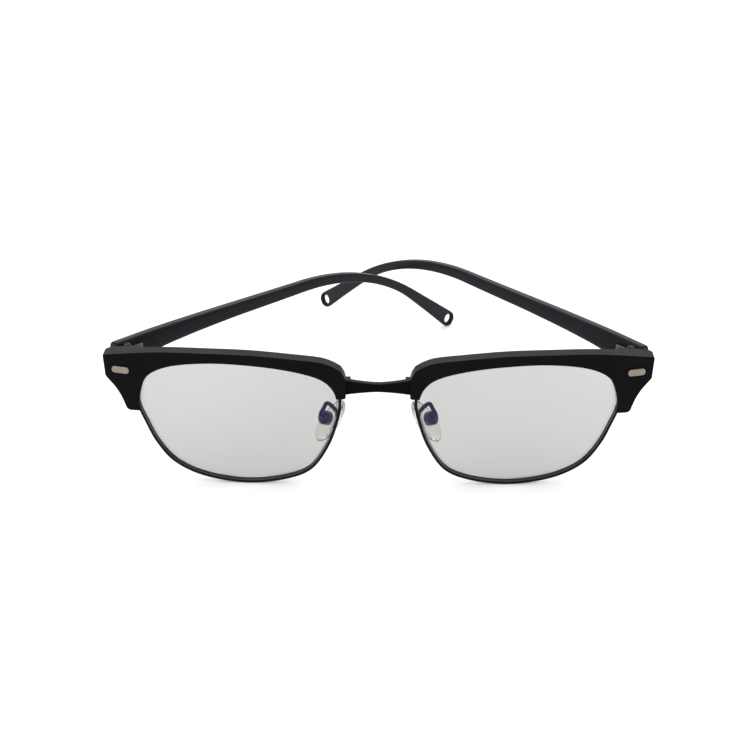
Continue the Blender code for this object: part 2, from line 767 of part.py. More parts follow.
def makeNosePad():
    """A silicone teardrop, flatter behind, with the lug that the screw holds."""
    mesh = bpy.data.meshes.new("nose_pad")
    shape = bmesh.new()
    bmesh.ops.create_uvsphere(shape, u_segments=18, v_segments=10, radius=1)
    backHeight = boxDepth / 2 + padStandoff
    for vertex in shape.verts:
        x, y, z = vertex.co.x, vertex.co.z, vertex.co.y
        narrow = 1 - padTaperShare * (y + 1) / 2
        depth = z * (1 - padBackShare) if z > 0 else z * padBackShare
        vertex.co = (x * narrow * padWidth / 2, y * padLength / 2 - padSag,
                     backHeight + padThickness * (padBackShare + depth))
    bmesh.ops.recalc_face_normals(shape, faces=shape.faces)
    shape.to_mesh(mesh)
    shape.free()
    pad = meshObject("nose_pad", mesh, partGroup)
    floor = -boxDepth / 2 + boxWall
    lug = block("lug", (-padLugWidth / 2, -padLugHeight / 2, floor + seatGap),
                (padLugWidth / 2, padLugHeight / 2, backHeight + padThickness * padLugShare))
    pad = join(pad, lug)
    bore = cylinder("screw_bore", (-boxRadius, 0, 0), (boxRadius, 0, 0), padScrewRadius + seatGap / 2)
    return cut(pad, bore)


def makePadScrew():
    reach = boxRadius + seatGap
    shank = cylinder("pad_screw", (-reach, 0, 0), (reach + padScrewHeadHeight / 2, 0, 0), padScrewRadius)
    head = cylinder("head", (reach, 0, 0), (reach + padScrewHeadHeight, 0, 0), padScrewHeadRadius)
    screw = join(shank, head)
    screw.data.transform(Matrix.Translation(boxMiddle()) @ padFrame())
    return screw


# Hinge and temple, modelled open about the hinge axis, for the left (+X) side

templeInner = knuckleRadius + runningGap
templeOuter = templeInner + templeThickness
hingeX = browEndX - hingeInset
hingeY = browBackY + endPieceExtra + bowAt(hingeX) + templeRootGap + templeRootReach
hingeZ = lensTopZ - hingeDrop
knuckleStep = knuckleHeight + runningGap


def makeFrontLeaf():
    """The plate on the brow bar with the upper and the lower knuckle."""
    turn = math.atan(hingeX / faceRadius)
    plateBack = -templeRootReach - templeRootGap + seatGap
    # The bow turns the plate's outer edge towards the open temple
    edge = templeInner - seatGap - (templeRootReach + templeRootGap) * math.tan(turn)
    leaf = block("hinge_front", (edge - frontLeafWidth, plateBack, -frontLeafHeight / 2),
                 (edge, plateBack + leafThickness, frontLeafHeight / 2))
    leaf.data.transform(Matrix.Rotation(turn, 4, "Z"))
    parts = []
    for side in (-1, 1):
        low = side * knuckleStep - knuckleHeight / 2
        parts.append(cylinder("knuckle", (0, 0, low), (0, 0, low + knuckleHeight), knuckleRadius, roundSides))
        parts.append(block("neck", (-knuckleRadius, plateBack + leafThickness / 2, low),
                           (knuckleRadius * neckShare, 0, low + knuckleHeight)))
    leaf = join(leaf, *parts)
    reach = knuckleStep + knuckleHeight
    bore = cylinder("bore", (0, 0, -reach), (0, 0, reach), hingeScrewRadius + runningGap)
    return cut(leaf, bore)


def makeTempleLeaf():
    """The plate let into the temple with the middle knuckle."""
    low = templeInner + templeLeafSink - leafThickness
    start = knuckleRadius + runningGap
    leaf = block("hinge_temple", (low, start, -templeLeafHeight / 2),
                 (low + leafThickness, start + templeLeafLength, templeLeafHeight / 2))
    neck = block("neck", (low - leafThickness / 2, 0, -knuckleHeight / 2),
                 (templeInner - seatGap, start + leafThickness, knuckleHeight / 2))
    knuckle = cylinder("knuckle", (0, 0, -knuckleHeight / 2), (0, 0, knuckleHeight / 2), knuckleRadius, roundSides)
    leaf = join(leaf, neck, knuckle)
    bore = cylinder("bore", (0, 0, -knuckleHeight), (0, 0, knuckleHeight), hingeScrewRadius + runningGap)
    return cut(leaf, bore)


def makeHingeScrew():
    top = knuckleStep + knuckleHeight / 2 + runningGap
    bottom = -knuckleStep - knuckleHeight / 2
    head = cylinder("hinge_screw", (0, 0, top), (0, 0, top + hingeScrewHeadHeight), hingeScrewHeadRadius)
    shank = cylinder("shank", (0, 0, bottom), (0, 0, top + hingeScrewHeadHeight / 2), hingeScrewRadius)
    driver = slot("driver", (0, 0, top + hingeScrewHeadHeight), (1, 1, 0), (0, 0, 1), hingeScrewHeadRadius)
    return cut(join(head, shank), driver)


def templeLine(distance):
    """Place along and height of the temple's middle line, and its downward angle."""
    arc = templeBendRadius * templeBend
    if distance <= templeStraight:
        return distance, 0.0, 0.0
    angle = min((distance - templeStraight) / templeBendRadius, templeBend)
    along = templeStraight + templeBendRadius * math.sin(angle)
    drop = templeBendRadius * (1 - math.cos(angle))
    rest = max(distance - templeStraight - arc, 0.0)
    return along + rest * math.cos(angle), -drop - rest * math.sin(angle), angle


def templeSection(distance):
    """Heights above and below the middle line and thickness at a distance."""
    share = distance / templeLength
    table = ((-templeRootReach / templeLength, 1.0, 1.0, 1.0),) + templeStationShares
    for near, far in zip(table, table[1:]):
        if share <= far[0]:
            t = (share - near[0]) / (far[0] - near[0])
            up, down, thick = (near[k] + (far[k] - near[k]) * t for k in (1, 2, 3))
            break
    return up * templeRootUp, down * templeRootDown, thick * templeThickness


def templeDistances():
    """Even steps to the tip, then closer ones round it."""
    roundStart = templeLength - templeTipRadius
    body = [-templeRootReach + (roundStart + templeRootReach) * k / templeSteps for k in range(templeSteps + 1)]
    tip = [roundStart + templeTipRadius * math.sin(math.radians(15) * k) for k in range(1, 6)]
    return body + tip


def squared(value):
    """Sine or cosine of a squared oval instead of a circle."""
    return math.copysign(abs(value) ** (2 / templeSquareness), value)


def makeTemple():
    """A loft of oval sections from the root to the round tip."""
    mesh = bpy.data.meshes.new("temple")
    shape = bmesh.new()
    roundStart = templeLength - templeTipRadius
    # Half a step puts a flat side, not an edge, at each end of the oval's axes
    halfStep = math.pi / templeSides
    reach = squared(math.cos(halfStep))
    rings = []
    for distance in templeDistances():
        along, height, angle = templeLine(distance)
        up, down, thick = templeSection(distance)
        if distance > roundStart:
            share = math.sqrt(max(1 - ((distance - roundStart) / templeTipRadius) ** 2, 0))
            up, down = up * share, down * share
        ring = []
        for step in range(templeSides):
            turn = math.tau * step / templeSides + halfStep
            x = templeInner + thick / 2 * (1 + squared(math.cos(turn)) / reach)
            z = (up - down) / 2 + (up + down) / 2 * squared(math.sin(turn)) / reach
            ring.append(shape.verts.new((
                x, along + math.sin(angle) * z, height + math.cos(angle) * z)))
        rings.append(ring)
    for near, far in zip(rings, rings[1:]):
        for index in range(len(near)):
            after = (index + 1) % len(near)
            shape.faces.new((near[index], near[after], far[after], far[index]))
    shape.faces.new(rings[0])
    shape.faces.new(rings[-1])
    bmesh.ops.recalc_face_normals(shape, faces=shape.faces)
    shape.to_mesh(mesh)
    shape.free()
    temple = meshObject("temple", mesh, partGroup)

    # Pocket for the hinge leaf, bore for the core wire and cord hole in the tip
    start = knuckleRadius + runningGap
    pocket = block(
        "pocket", (templeInner - overrun, start - seatGap, -templeLeafHeight / 2 - seatGap),
        (templeInner + templeLeafSink + seatGap, start + templeLeafLength + seatGap,
         templeLeafHeight / 2 + seatGap))
    bore = wire("core_bore", corePlaces(-templeRootReach - overrun, seatGap), coreBoreRadius, 1)
    along, height, angle = templeLine(roundStart)
    hole = cylinder("cord_hole", (templeInner - overrun, along, height),
                    (templeOuter + overrun, along, height), cordHoleRadius, roundSides)
    return cut(temple, pocket, bore, hole)


def corePlaces(start, extra):
    """The core wire's middle line, inside the temple."""
    steps = 18
    end = templeLength - coreEndMargin + extra
    places = []
    for step in range(steps + 1):
        distance = start + (end - start) * step / steps
        along, height, angle = templeLine(distance)
        thick = templeSection(max(distance, -templeRootReach))[2]
        places.append(Vector((templeInner + templeLeafSink + (thick - templeLeafSink) / 2, along, height)))
    return places


def makeCoreWire():
    return wire("core_wire", corePlaces(-templeRootReach + seatGap, 0.0), coreRadius, 1)


# Assembly

root = emptyAt("frame_root", (0, 0, 0))


def placeFrontPieces():
    upper, lower = makeLockBlocks()
    pieces = (
        ("brow_bar", makeBrow(), "matte_black_plastic"),
        ("rim", makeRim(), "black_enamelled_metal"),
        ("lens", makeLens(), "demo_lens"),
        ("rivet_plate", makeRivetPlate(), "champagne_metal"),
        ("brow_screw", makeBrowScrew(), "black_enamelled_metal"),
        ("lock_block_upper", upper, "black_enamelled_metal"),
        ("lock_block_lower", lower, "black_enamelled_metal"),
        ("lock_screw", makeLockScrew(), "grey_hinge_metal"),
    )
    for name, piece, material in pieces:
        bowed(piece, name == "brow_bar")
        piece.name = name + "_left"
        finish(mirrored(piece, name + "_right"), material, root)
        finish(piece, material, root)
    finish(bowed(makeBridge(), True), "black_enamelled_metal", root)


def placePads():
    """Arms and boxes on the front; each pad on an axis through its screw."""
    shift = Vector((0, bowAt(armFoot().x), 0))
    fixed = (
        ("pad_arm", makePadArm(), "violet_black_metal"),
        ("pad_box", makePadBox(), "violet_black_metal"),
        ("pad_screw", makePadScrew(), "grey_hinge_metal"),
    )
    for name, piece, material in fixed:
        piece.data.transform(Matrix.Translation(shift))
        piece.name = name + "_left"
        finish(mirrored(piece, name + "_right"), material, root)
        finish(piece, material, root)
    pad = makeNosePad()
    for side, name in ((1, "left"), (-1, "right")):
        place = boxMiddle() + shift
        frame = padFrame()
        axis = emptyAt("pad_axis_" + name, (side * place.x, place.y, place.z), root)
        mesh = pad.data.copy()
        mesh.transform(frame)
        if side < 0:
            mesh.transform(Matrix.Diagonal((-1, 1, 1, 1)))
        finish(meshObject("nose_pad_" + name, weld(mesh), partGroup), "clear_silicone", axis)
    bpy.data.objects.remove(pad, do_unlink=True)


def placeHinges():
    """The front leaf and its screw stay on the front; the temple turns about the axis."""
    fixed = (
        ("hinge_front", makeFrontLeaf(), "grey_hinge_metal"),
        ("hinge_screw", makeHingeScrew(), "black_enamelled_metal"),
    )
    moving = (
        ("temple", makeTemple(), "matte_black_plastic"),
        ("hinge_temple", makeTempleLeaf(), "grey_hinge_metal"),
        ("core_wire", makeCoreWire(), "grey_hinge_metal"),
    )
    for side, name, fold in ((1, "left", leftFold), (-1, "right", rightFold)):
        axis = emptyAt("hinge_axis_" + name, (side * hingeX, hingeY, hingeZ), root)
        axis.rotation_euler = (0, hingeCant, 0)
        swing = emptyAt("temple_swing_" + name, (0, 0, 0), axis)
        swing.rotation_euler = (0, 0, side * (math.radians(90) - fold))
        for group, parent in ((fixed, axis), (moving, swing)):
            for kind, piece, material in group:
                mesh = piece.data.copy()
                if side < 0:
                    mesh.transform(Matrix.Diagonal((-1, 1, 1, 1)))
                finish(meshObject(kind + "_" + name, weld(mesh), partGroup), material, parent)
    for kind, piece, material in fixed + moving:
        bpy.data.objects.remove(piece, do_unlink=True)


def worldCorners(names=None):
    """Every mesh point of the parts, or of the named ones, in world space."""
    bpy.context.view_layer.update()
    out = []
    for obj in partGroup.objects:
        if obj.type == "MESH" and (names is None or obj.name in names):
            out.extend(obj.matrix_world @ vertex.co for vertex in obj.data.vertices)
    return out


def settleOnTable():
    """Stand the frame on its eye wires and the lower temple tip, centred above the origin."""
    for attempt in range(4):
        front = min(worldCorners(("rim_left", "rim_right")), key=lambda place: place.z)
        tip = min(worldCorners(("temple_right", "temple_left")), key=lambda place: place.z)
        root.rotation_euler.x += math.atan2(front.z - tip.z, tip.y - front.y)
    places = worldCorners()
    for index in (0, 1):
        values = [place[index] for place in places]
        root.location[index] -= (min(values) + max(values)) / 2
    root.location.z -= min(place.z for place in places)


placeFrontPieces()
placePads()
placeHinges()
settleOnTable()
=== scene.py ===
import json
import math

import bmesh
import bpy
from mathutils import Matrix, Vector


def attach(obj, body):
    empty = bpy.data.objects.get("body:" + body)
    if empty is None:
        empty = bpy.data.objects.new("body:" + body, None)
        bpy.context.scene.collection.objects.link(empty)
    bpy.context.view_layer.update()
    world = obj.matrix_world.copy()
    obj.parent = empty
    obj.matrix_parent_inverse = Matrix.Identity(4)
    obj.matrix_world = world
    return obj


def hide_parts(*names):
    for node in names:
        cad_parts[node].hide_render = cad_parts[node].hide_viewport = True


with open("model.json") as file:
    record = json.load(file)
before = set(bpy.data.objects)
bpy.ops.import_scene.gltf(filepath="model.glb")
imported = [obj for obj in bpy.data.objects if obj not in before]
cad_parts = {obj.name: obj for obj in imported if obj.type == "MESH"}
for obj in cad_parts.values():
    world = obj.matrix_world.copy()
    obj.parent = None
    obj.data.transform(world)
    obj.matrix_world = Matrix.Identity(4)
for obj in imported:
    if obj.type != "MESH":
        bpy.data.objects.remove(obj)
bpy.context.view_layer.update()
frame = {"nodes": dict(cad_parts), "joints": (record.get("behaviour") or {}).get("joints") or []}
mm = 0.001
print("loaded the CAD frame")


# Materials

def hexColour(code):
    # sRGB hex to the linear values that the shaders take
    out = []
    for start in (0, 2, 4):
        value = int(code[start:start + 2], 16) / 255
        out.append(value / 12.92 if value <= 0.04045 else ((value + 0.055) / 1.055) ** 2.4)
    return (*out, 1.0)


def addNode(tree, kind, settings=None, links=None):
    node = tree.nodes.new(kind)
    for name, value in (settings or {}).items():
        if name in node.inputs:
            node.inputs[name].default_value = value
        else:
            setattr(node, name, value)
    for name, source in (links or {}).items():
        tree.links.new(source, node.inputs[name])
    return node


def newMaterial(name, settings):
    material = bpy.data.materials.new(name)
    material.use_nodes = True
    shader = material.node_tree.nodes["Principled BSDF"]
    for socket, value in settings.items():
        shader.inputs[socket].default_value = value
    return material, material.node_tree, shader


def mottle(tree, shader, sizeMm, colours, roughness):
    # Slow change of colour and gloss over the surface, in object space. Noise stays mostly within 0.3 to 0.7
    place = addNode(tree, "ShaderNodeTexCoord")
    noise = addNode(tree, "ShaderNodeTexNoise", {"Scale": 1000 / sizeMm, "Detail": 3.0},
                    {"Vector": place.outputs["Object"]})
    tint = addNode(tree, "ShaderNodeValToRGB", None, {"Fac": noise.outputs["Fac"]})
    for stop, share, colour in zip(tint.color_ramp.elements, (0.35, 0.65), colours):
        stop.position = share
        stop.color = hexColour(colour)
    gloss = addNode(tree, "ShaderNodeMapRange",
                    {"From Min": 0.3, "From Max": 0.7, "To Min": roughness[0], "To Max": roughness[1]},
                    {"Value": noise.outputs["Fac"]})
    tree.links.new(tint.outputs["Color"], shader.inputs["Base Color"])
    tree.links.new(gloss.outputs["Result"], shader.inputs["Roughness"])
    return place


def grain(tree, shader, place, sizeMm, heightMm, strength, stretch=(1, 1, 1)):
    # Fine relief whose grains have a real size
    spread = addNode(tree, "ShaderNodeMapping", {"Scale": stretch}, {"Vector": place.outputs["Object"]})
    noise = addNode(tree, "ShaderNodeTexNoise", {"Scale": 1000 / sizeMm, "Detail": 2.0},
                    {"Vector": spread.outputs["Vector"]})
    bump = addNode(tree, "ShaderNodeBump", {"Strength": strength, "Distance": heightMm * mm},
                   {"Height": noise.outputs["Fac"]})
    tree.links.new(bump.outputs["Normal"], shader.inputs["Normal"])


def makeMattBlackNylon():
    # Injection-moulded nylon with a spark-eroded grain: deep black with a broad soft sheen on top.
    # The real grain is 0.05 mm and is drawn at 0.3 mm so that it shows.
    material, tree, shader = newMaterial("mattBlackNylon", {"IOR": 1.5, "Specular IOR Level": 0.06})
    place = mottle(tree, shader, 9.0, ("040407", "08080d"), (0.36, 0.44))
    grain(tree, shader, place, sizeMm=0.3, heightMm=0.02, strength=0.25)
    return material


def makeTempleNylon():
    # The same nylon on the temples, polished a little by tumbling: cooler black, slightly brighter edge
    material, tree, shader = newMaterial("tumbledBlackNylon", {"IOR": 1.5, "Specular IOR Level": 0.13})
    place = mottle(tree, shader, 14.0, ("0a0c13", "101219"), (0.36, 0.44))
    grain(tree, shader, place, sizeMm=0.3, heightMm=0.02, strength=0.2, stretch=(1, 1, 0.6))
    return material


def makeBlackLacquer(name, level, coat, colours):
    # Baked lacquer on nickel alloy: on the drawn wire black with narrow bright lines along the edges,
    # on the stamped bridge deeper and more matt
    material, tree, shader = newMaterial(
        name, {"IOR": 1.5, "Specular IOR Level": level, "Coat Weight": coat, "Coat Roughness": 0.12})
    place = mottle(tree, shader, 6.0, colours, (0.26, 0.34))
    grain(tree, shader, place, sizeMm=0.5, heightMm=0.01, strength=0.15)
    return material


def makeVioletPlating():
    # Dark violet plating on bent wire: small hard highlights on blue-black metal
    material, tree, shader = newMaterial("violetPlatedWire", {"Metallic": 0.9, "Specular IOR Level": 0.2})
    place = mottle(tree, shader, 2.5, ("232050", "302d6c"), (0.22, 0.30))
    grain(tree, shader, place, sizeMm=0.25, heightMm=0.006, strength=0.15)
    return material


def makeChampagnePlating():
    # Satin champagne plating, brushed along the plate: soft streaks and a pale warm face
    material, tree, shader = newMaterial("champagneSatinPlate", {"Metallic": 1.0})
    place = mottle(tree, shader, 3.0, ("837b6f", "938b7e"), (0.34, 0.44))
    grain(tree, shader, place, sizeMm=0.12, heightMm=0.01, strength=0.35, stretch=(0.15, 1, 1))
    return material


def makeNickelSilver():
    # Stamped nickel silver of hinges and screws: dull warm grey with tumbling marks
    material, tree, shader = newMaterial("tumbledNickelSilver", {"Metallic": 1.0})
    place = mottle(tree, shader, 1.6, ("5a5952", "6c6b63"), (0.36, 0.48))
    grain(tree, shader, place, sizeMm=0.2, heightMm=0.01, strength=0.3)
    return material


def glancing(tree, most):
    # Share of reflection that grows towards glancing angles, alike on entering and leaving the sheet
    turned = addNode(tree, "ShaderNodeLayerWeight", {"Blend": 0.2})
    return addNode(tree, "ShaderNodeMapRange", {"To Max": most}, {"Value": turned.outputs["Facing"]})


def makeClearAcrylic(name, look):
    # A see-through filter with a thin gloss on both faces that catches the softboxes
    material = bpy.data.materials.new(name)
    material.use_nodes = True
    tree = material.node_tree
    tree.nodes.clear()
    place = addNode(tree, "ShaderNodeTexCoord")
    noise = addNode(tree, "ShaderNodeTexNoise", {"Scale": 1000 / look["cloudMm"], "Detail": look["detail"]},
                    {"Vector": place.outputs["Object"]})
    tint = addNode(tree, "ShaderNodeValToRGB", None, {"Fac": noise.outputs["Fac"]})
    for stop, (share, colour) in zip(tint.color_ramp.elements, look["tints"]):
        stop.position = share
        stop.color = hexColour(colour)
    bump = addNode(tree, "ShaderNodeBump", {"Strength": look["relief"], "Distance": look["reliefMm"] * mm},
                   {"Height": noise.outputs["Fac"]})
    clear = addNode(tree, "ShaderNodeBsdfTransparent", None, {"Color": tint.outputs["Color"]})
    gloss = addNode(tree, "ShaderNodeBsdfGlossy", {"Roughness": look["roughness"]},
                    {"Normal": bump.outputs["Normal"]})
    share = glancing(tree, look["glancing"])
    blend = addNode(tree, "ShaderNodeMixShader", None, {"Fac": share.outputs["Result"]})
    tree.links.new(clear.outputs["BSDF"], blend.inputs[1])
    tree.links.new(gloss.outputs["BSDF"], blend.inputs[2])
    out = addNode(tree, "ShaderNodeOutputMaterial", None, {"Surface": blend.outputs["Shader"]})
    out.is_active_output = True
    return material


# Flat-cast acrylic of a shop lens: a light grey, even over the whole lens
demoLensLook = {
    "cloudMm": 30, "detail": 1.0, "tints": ((0.0, "dddddc"), (1.0, "e0e0df")),
    "relief": 0.05, "reliefMm": 0.005, "roughness": 0.03, "glancing": 0.4,
}
# Its polished bevel gets a grey see-through tint with gloss: a painted reflection of the room's grey, which
# gives a thin pale line in the wire
bevelPaintedReflectionLook = {
    "cloudMm": 8, "detail": 2.0, "tints": ((0.35, "c4c8cd"), (0.65, "dcdfe2")),
    "relief": 0.2, "reliefMm": 0.01, "roughness": 0.12, "glancing": 0.7,
}


def makeClearSilicone():
    # Cast silicone: clear body with faint flow lines, and a painted shade of warm grey where its surface
    # turns away from the view, in place of the light its edges bend
    material, tree, shader = newMaterial(
        "clearCastSilicone", {"IOR": 1.43, "Transmission Weight": 0.95, "Specular IOR Level": 0.5})
    place = mottle(tree, shader, 5.0, ("f4f1eb", "fcfbf8"), (0.03, 0.08))
    body = shader.inputs["Base Color"].links[0].from_socket
    # Painted shade: the base colour goes from white to warm grey as the surface turns away from the view
    turned = addNode(tree, "ShaderNodeLayerWeight", {"Blend": 0.35})
    edgePaintedShade = addNode(tree, "ShaderNodeValToRGB", None, {"Fac": turned.outputs["Facing"]})
    for stop, share, colour in zip(edgePaintedShade.color_ramp.elements, (0.25, 0.85), ("ffffff", "8c8478")):
        stop.position = share
        stop.color = hexColour(colour)
    both = addNode(tree, "ShaderNodeMix", {"data_type": "RGBA", "blend_type": "MULTIPLY"})
    # Inputs 0, 6 and 7 are the share and the two colours, output 2 is the mixed colour
    both.inputs[0].default_value = 1.0
    tree.links.new(body, both.inputs[6])
    tree.links.new(edgePaintedShade.outputs["Color"], both.inputs[7])
    tree.links.new(both.outputs[2], shader.inputs["Base Color"])
    grain(tree, shader, place, sizeMm=1.8, heightMm=0.12, strength=0.5, stretch=(1.8, 1.8, 0.5))
    return material


nylon = makeMattBlackNylon()
templeNylon = makeTempleNylon()
lacquer = makeBlackLacquer("blackLacqueredWire", 0.09, 0.04, ("07070a", "0e0e12"))
bridgeLacquer = makeBlackLacquer("mattBlackLacqueredBridge", 0.04, 0.0, ("020204", "060609"))
violet = makeVioletPlating()
champagne = makeChampagnePlating()
nickelSilver = makeNickelSilver()
demoLens = makeClearAcrylic("clearDemoAcrylic", demoLensLook)
# The bevel's grey tint is a painted reflection, not a colour of the acrylic
bevelPaintedReflection = makeClearAcrylic("lensBevelPaintedReflection", bevelPaintedReflectionLook)
silicone = makeClearSilicone()
print("made the materials")


# Sizes of the front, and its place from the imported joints. Lengths are in metres, angles in degrees

lensForm = {
    "width": 51.0 * mm, "height": 34.7 * mm, "bridgeGap": 20.0 * mm, "faceRadius": 900 * mm,
    # Outline as shares of half the width (outward) and half the height (up)
    "outline": (
        (0.31, 0.995), (0.675, 0.93), (0.90, 0.77), (0.985, 0.50), (1.0, 0.24),
        (0.93, -0.06), (0.84, -0.36), (0.69, -0.66), (0.465, -0.86), (0.18, -0.97),
        (-0.12, -1.0), (-0.45, -0.925), (-0.70, -0.755), (-0.87, -0.38), (-0.965, 0.02),
        (-1.0, 0.33), (-0.95, 0.60), (-0.80, 0.785), (-0.48, 0.91), (-0.08, 0.98),
    ),
    "thickness": 1.4 * mm, "crown": 1.3 * mm, "rings": (1.0, 0.96, 0.86, 0.72, 0.56, 0.38, 0.19),
    "bevel": 0.6 * mm, "pole": 0.02,
}
hingeForm = {
    "fromEnd": 5.0 * mm, "drop": 1.7 * mm, "fromBack": 4.2 * mm, "knuckle": 1.05 * mm, "running": 0.15 * mm,
}
rimForm = {
    "width": 1.1 * mm, "lip": 0.35 * mm, "depth": 1.8 * mm, "corner": 0.3 * mm, "cornerSteps": 3,
    # The drawn wire stops short of the lens's face, so that the lens shows its bevel, whose painted
    # reflection tint makes a pale line
    "drawnLip": 0.0, "gap": 0.15 * mm,
}
browForm = {
    "rise": 2.4 * mm, "reach": 8.3 * mm, "drop": 14.3 * mm, "nasalReach": 1.9 * mm,
    "nasalDrop": 9.8 * mm, "depth": 3.4 * mm, "endExtra": 1.2 * mm, "endStart": -0.6 * mm,
    "edge": 0.42 * mm, "edgeSteps": 5, "cornerRadius": 2.0 * mm, "cornerSides": 64, "footIn": 2.0 * mm,
    "gap": 0.15 * mm,
    # How far the cutting tools reach past the bar, and how many slices follow the bow
    "spare": 1.0 * mm, "slices": 30,
    # Room for the closing blocks behind the end piece
    "blockDrop": 8.6 * mm, "blockTop": 1.8 * mm, "blockSide": 1.65 * mm,
    # Outline as shares: "nasal" of its reach and drop, with its first points on a curve, "top" of the lens
    # width and the rise, "end" of the reach and the rise, "temple" of the reach and the drop
    "nasalCurve": 4, "curveSteps": {"nasal": 3, "top": 6, "temple": 5},
    "nasal": ((0.50, -1.0), (0.88, -0.98), (1.0, -0.90), (1.0, -0.50), (0.80, -0.35), (0.35, -0.20)),
    "top": ((0.02, -0.36), (0.06, 0.0), (0.10, 0.20), (0.19, 0.42), (0.43, 0.86), (0.665, 0.98),
            (0.84, 1.0), (0.97, 0.88)),
    "end": ((0.985, 0.52), (1.0, 0.34)),
    "temple": ((0.965, -0.31), (0.90, -0.37), (0.69, -0.53), (0.53, -0.70), (0.43, -0.86), (0.37, -0.955),
               (0.27, -0.99)),
}
middleX = (lensForm["bridgeGap"] + lensForm["width"]) / 2
halfLens = lensForm["width"] / 2
middleZ = rimForm["width"] - rimForm["lip"] + lensForm["height"] / 2
topZ = middleZ + lensForm["height"] / 2
browBack = rimForm["depth"] / 2
browFront = browBack - browForm["depth"]
browEnd = middleX + halfLens + browForm["reach"]
browNose = lensForm["bridgeGap"] / 2 - browForm["nasalReach"]

# The front is modelled upright for the wearer's left, and then leans as its hinge axis does
joints = {joint["name"]: joint for joint in frame["joints"]}
hingeAxis = Vector(joints["temple_left_fold"]["axis"]).normalized()
hingeX = browEnd - hingeForm["fromEnd"]
hingePoint = Vector((hingeX, browBack + hingeForm["fromBack"] + hingeX ** 2 / (2 * lensForm["faceRadius"]),
                     topZ - hingeForm["drop"]))
leanTurn = Matrix.Rotation(-math.asin(hingeAxis.y / math.hypot(hingeAxis.y, hingeAxis.z)), 4, "X")
frontShift = Vector(joints["temple_left_fold"]["pos_m"]) - leanTurn.to_3x3() @ hingePoint
frontPlace = Matrix.Translation(frontShift) @ leanTurn


# Mesh helpers

weldDistance = 0.003 * mm
roundSides = 48


def curveThrough(points, closed, steps=8):
    # A smooth curve through the points, with some steps between each two
    points = [Vector(point) for point in points]
    count = len(points)
    out = []
    for span in range(count if closed else count - 1):
        a, b, c, d = (points[(span + k) % count] if closed else points[min(max(span + k, 0), count - 1)]
                      for k in (-1, 0, 1, 2))
        for step in range(steps):
            t = step / steps
            out.append(0.5 * ((2 * b) + (c - a) * t + (2 * a - 5 * b + 4 * c - d) * t * t
                              + (3 * b - a - 3 * c + d) * t ** 3))
    if not closed:
        out.append(points[-1])
    return out


def lensOutline(margin=0.0):
    # The lens edge seen from the front, moved outward by a margin
    middle = Vector((middleX, middleZ))
    loop = curveThrough([middle + Vector((u * halfLens, v * lensForm["height"] / 2))
                         for u, v in lensForm["outline"]], True)
    moved = []
    for index, point in enumerate(loop):
        ahead = loop[(index + 1) % len(loop)] - loop[index - 1]
        moved.append(point + Vector((-ahead.y, ahead.x)).normalized() * margin)
    return moved


def outlineAt(height, side, margin):
    # Where the moved lens edge crosses a height, on its outer or its inner side
    loop = lensOutline(margin)
    found = [near.x + (far.x - near.x) * (height - near.y) / (far.y - near.y)
             for near, far in zip(loop, loop[1:] + loop[:1])
             if (near.y - height) * (far.y - height) <= 0 and near.y != far.y]
    return max(found) if side > 0 else min(found)


def addMesh(name, mesh):
    obj = bpy.data.objects.new(name, mesh)
    bpy.context.scene.collection.objects.link(obj)
    return obj


def fromShape(name, shape):
    bmesh.ops.recalc_face_normals(shape, faces=shape.faces)
    mesh = bpy.data.meshes.new(name)
    shape.to_mesh(mesh)
    shape.free()
    return addMesh(name, mesh)


def settled(obj):
    # The object's mesh with its modifiers applied, welded, on a plain new object
    bpy.context.view_layer.update()
    mesh = bpy.data.meshes.new_from_object(obj.evaluated_get(bpy.context.evaluated_depsgraph_get()))
    mesh.transform(obj.matrix_world)
    shape = bmesh.new()
    shape.from_mesh(mesh)
    bmesh.ops.remove_doubles(shape, verts=shape.verts, dist=weldDistance)
    bmesh.ops.recalc_face_normals(shape, faces=shape.faces)
    shape.to_mesh(mesh)
    shape.free()
    name = obj.name
    bpy.data.objects.remove(obj, do_unlink=True)
    return addMesh(name, mesh)


def flatPlate(name, outline, front, back):
    # An outline seen from the front, filled between two depths
    curve = bpy.data.curves.new(name, "CURVE")
    curve.dimensions = "2D"
    curve.fill_mode = "BOTH"
    curve.extrude = (back - front) / 2
    spline = curve.splines.new("POLY")
    spline.points.add(len(outline) - 1)
    for point, place in zip(spline.points, outline):
        point.co = (place[0], place[1], 0, 1)
    spline.use_cyclic_u = True
    obj = bpy.data.objects.new(name, curve)
    upright = Matrix.Rotation(math.radians(90), 4, "X")
    obj.matrix_world = Matrix.Translation((0, (front + back) / 2, 0)) @ upright
    bpy.context.scene.collection.objects.link(obj)
    return settled(obj)


def addBlock(name, low, high):
    low, high = Vector(low), Vector(high)
    shape = bmesh.new()
    bmesh.ops.create_cube(shape, size=1, matrix=Matrix.Translation((low + high) / 2)
                          @ Matrix.Diagonal((*(high - low), 1)))
    return fromShape(name, shape)


def addBar(name, start, end, radius, sides=32):
    start, end = Vector(start), Vector(end)
    along = end - start
    shape = bmesh.new()
    bmesh.ops.create_cone(shape, cap_ends=True, segments=sides, radius1=radius, radius2=radius,
                          depth=along.length, matrix=Matrix.Translation((start + end) / 2)
                          @ along.to_track_quat("Z", "Y").to_matrix().to_4x4())
    return fromShape(name, shape)


def withTools(obj, tools, operation="DIFFERENCE"):
    for tool in tools:
        step = obj.modifiers.new("tool", "BOOLEAN")
        step.operation = operation
        step.solver = "EXACT"
        step.object = tool
    out = settled(obj)
    for tool in tools:
        bpy.data.objects.remove(tool, do_unlink=True)
    return out


def softEdges(obj, width, steps, sharp=35):
    bevel = obj.modifiers.new("edges", "BEVEL")
    bevel.width = width
    bevel.segments = steps
    bevel.limit_method = "ANGLE"
    bevel.angle_limit = math.radians(sharp)
    return settled(obj)


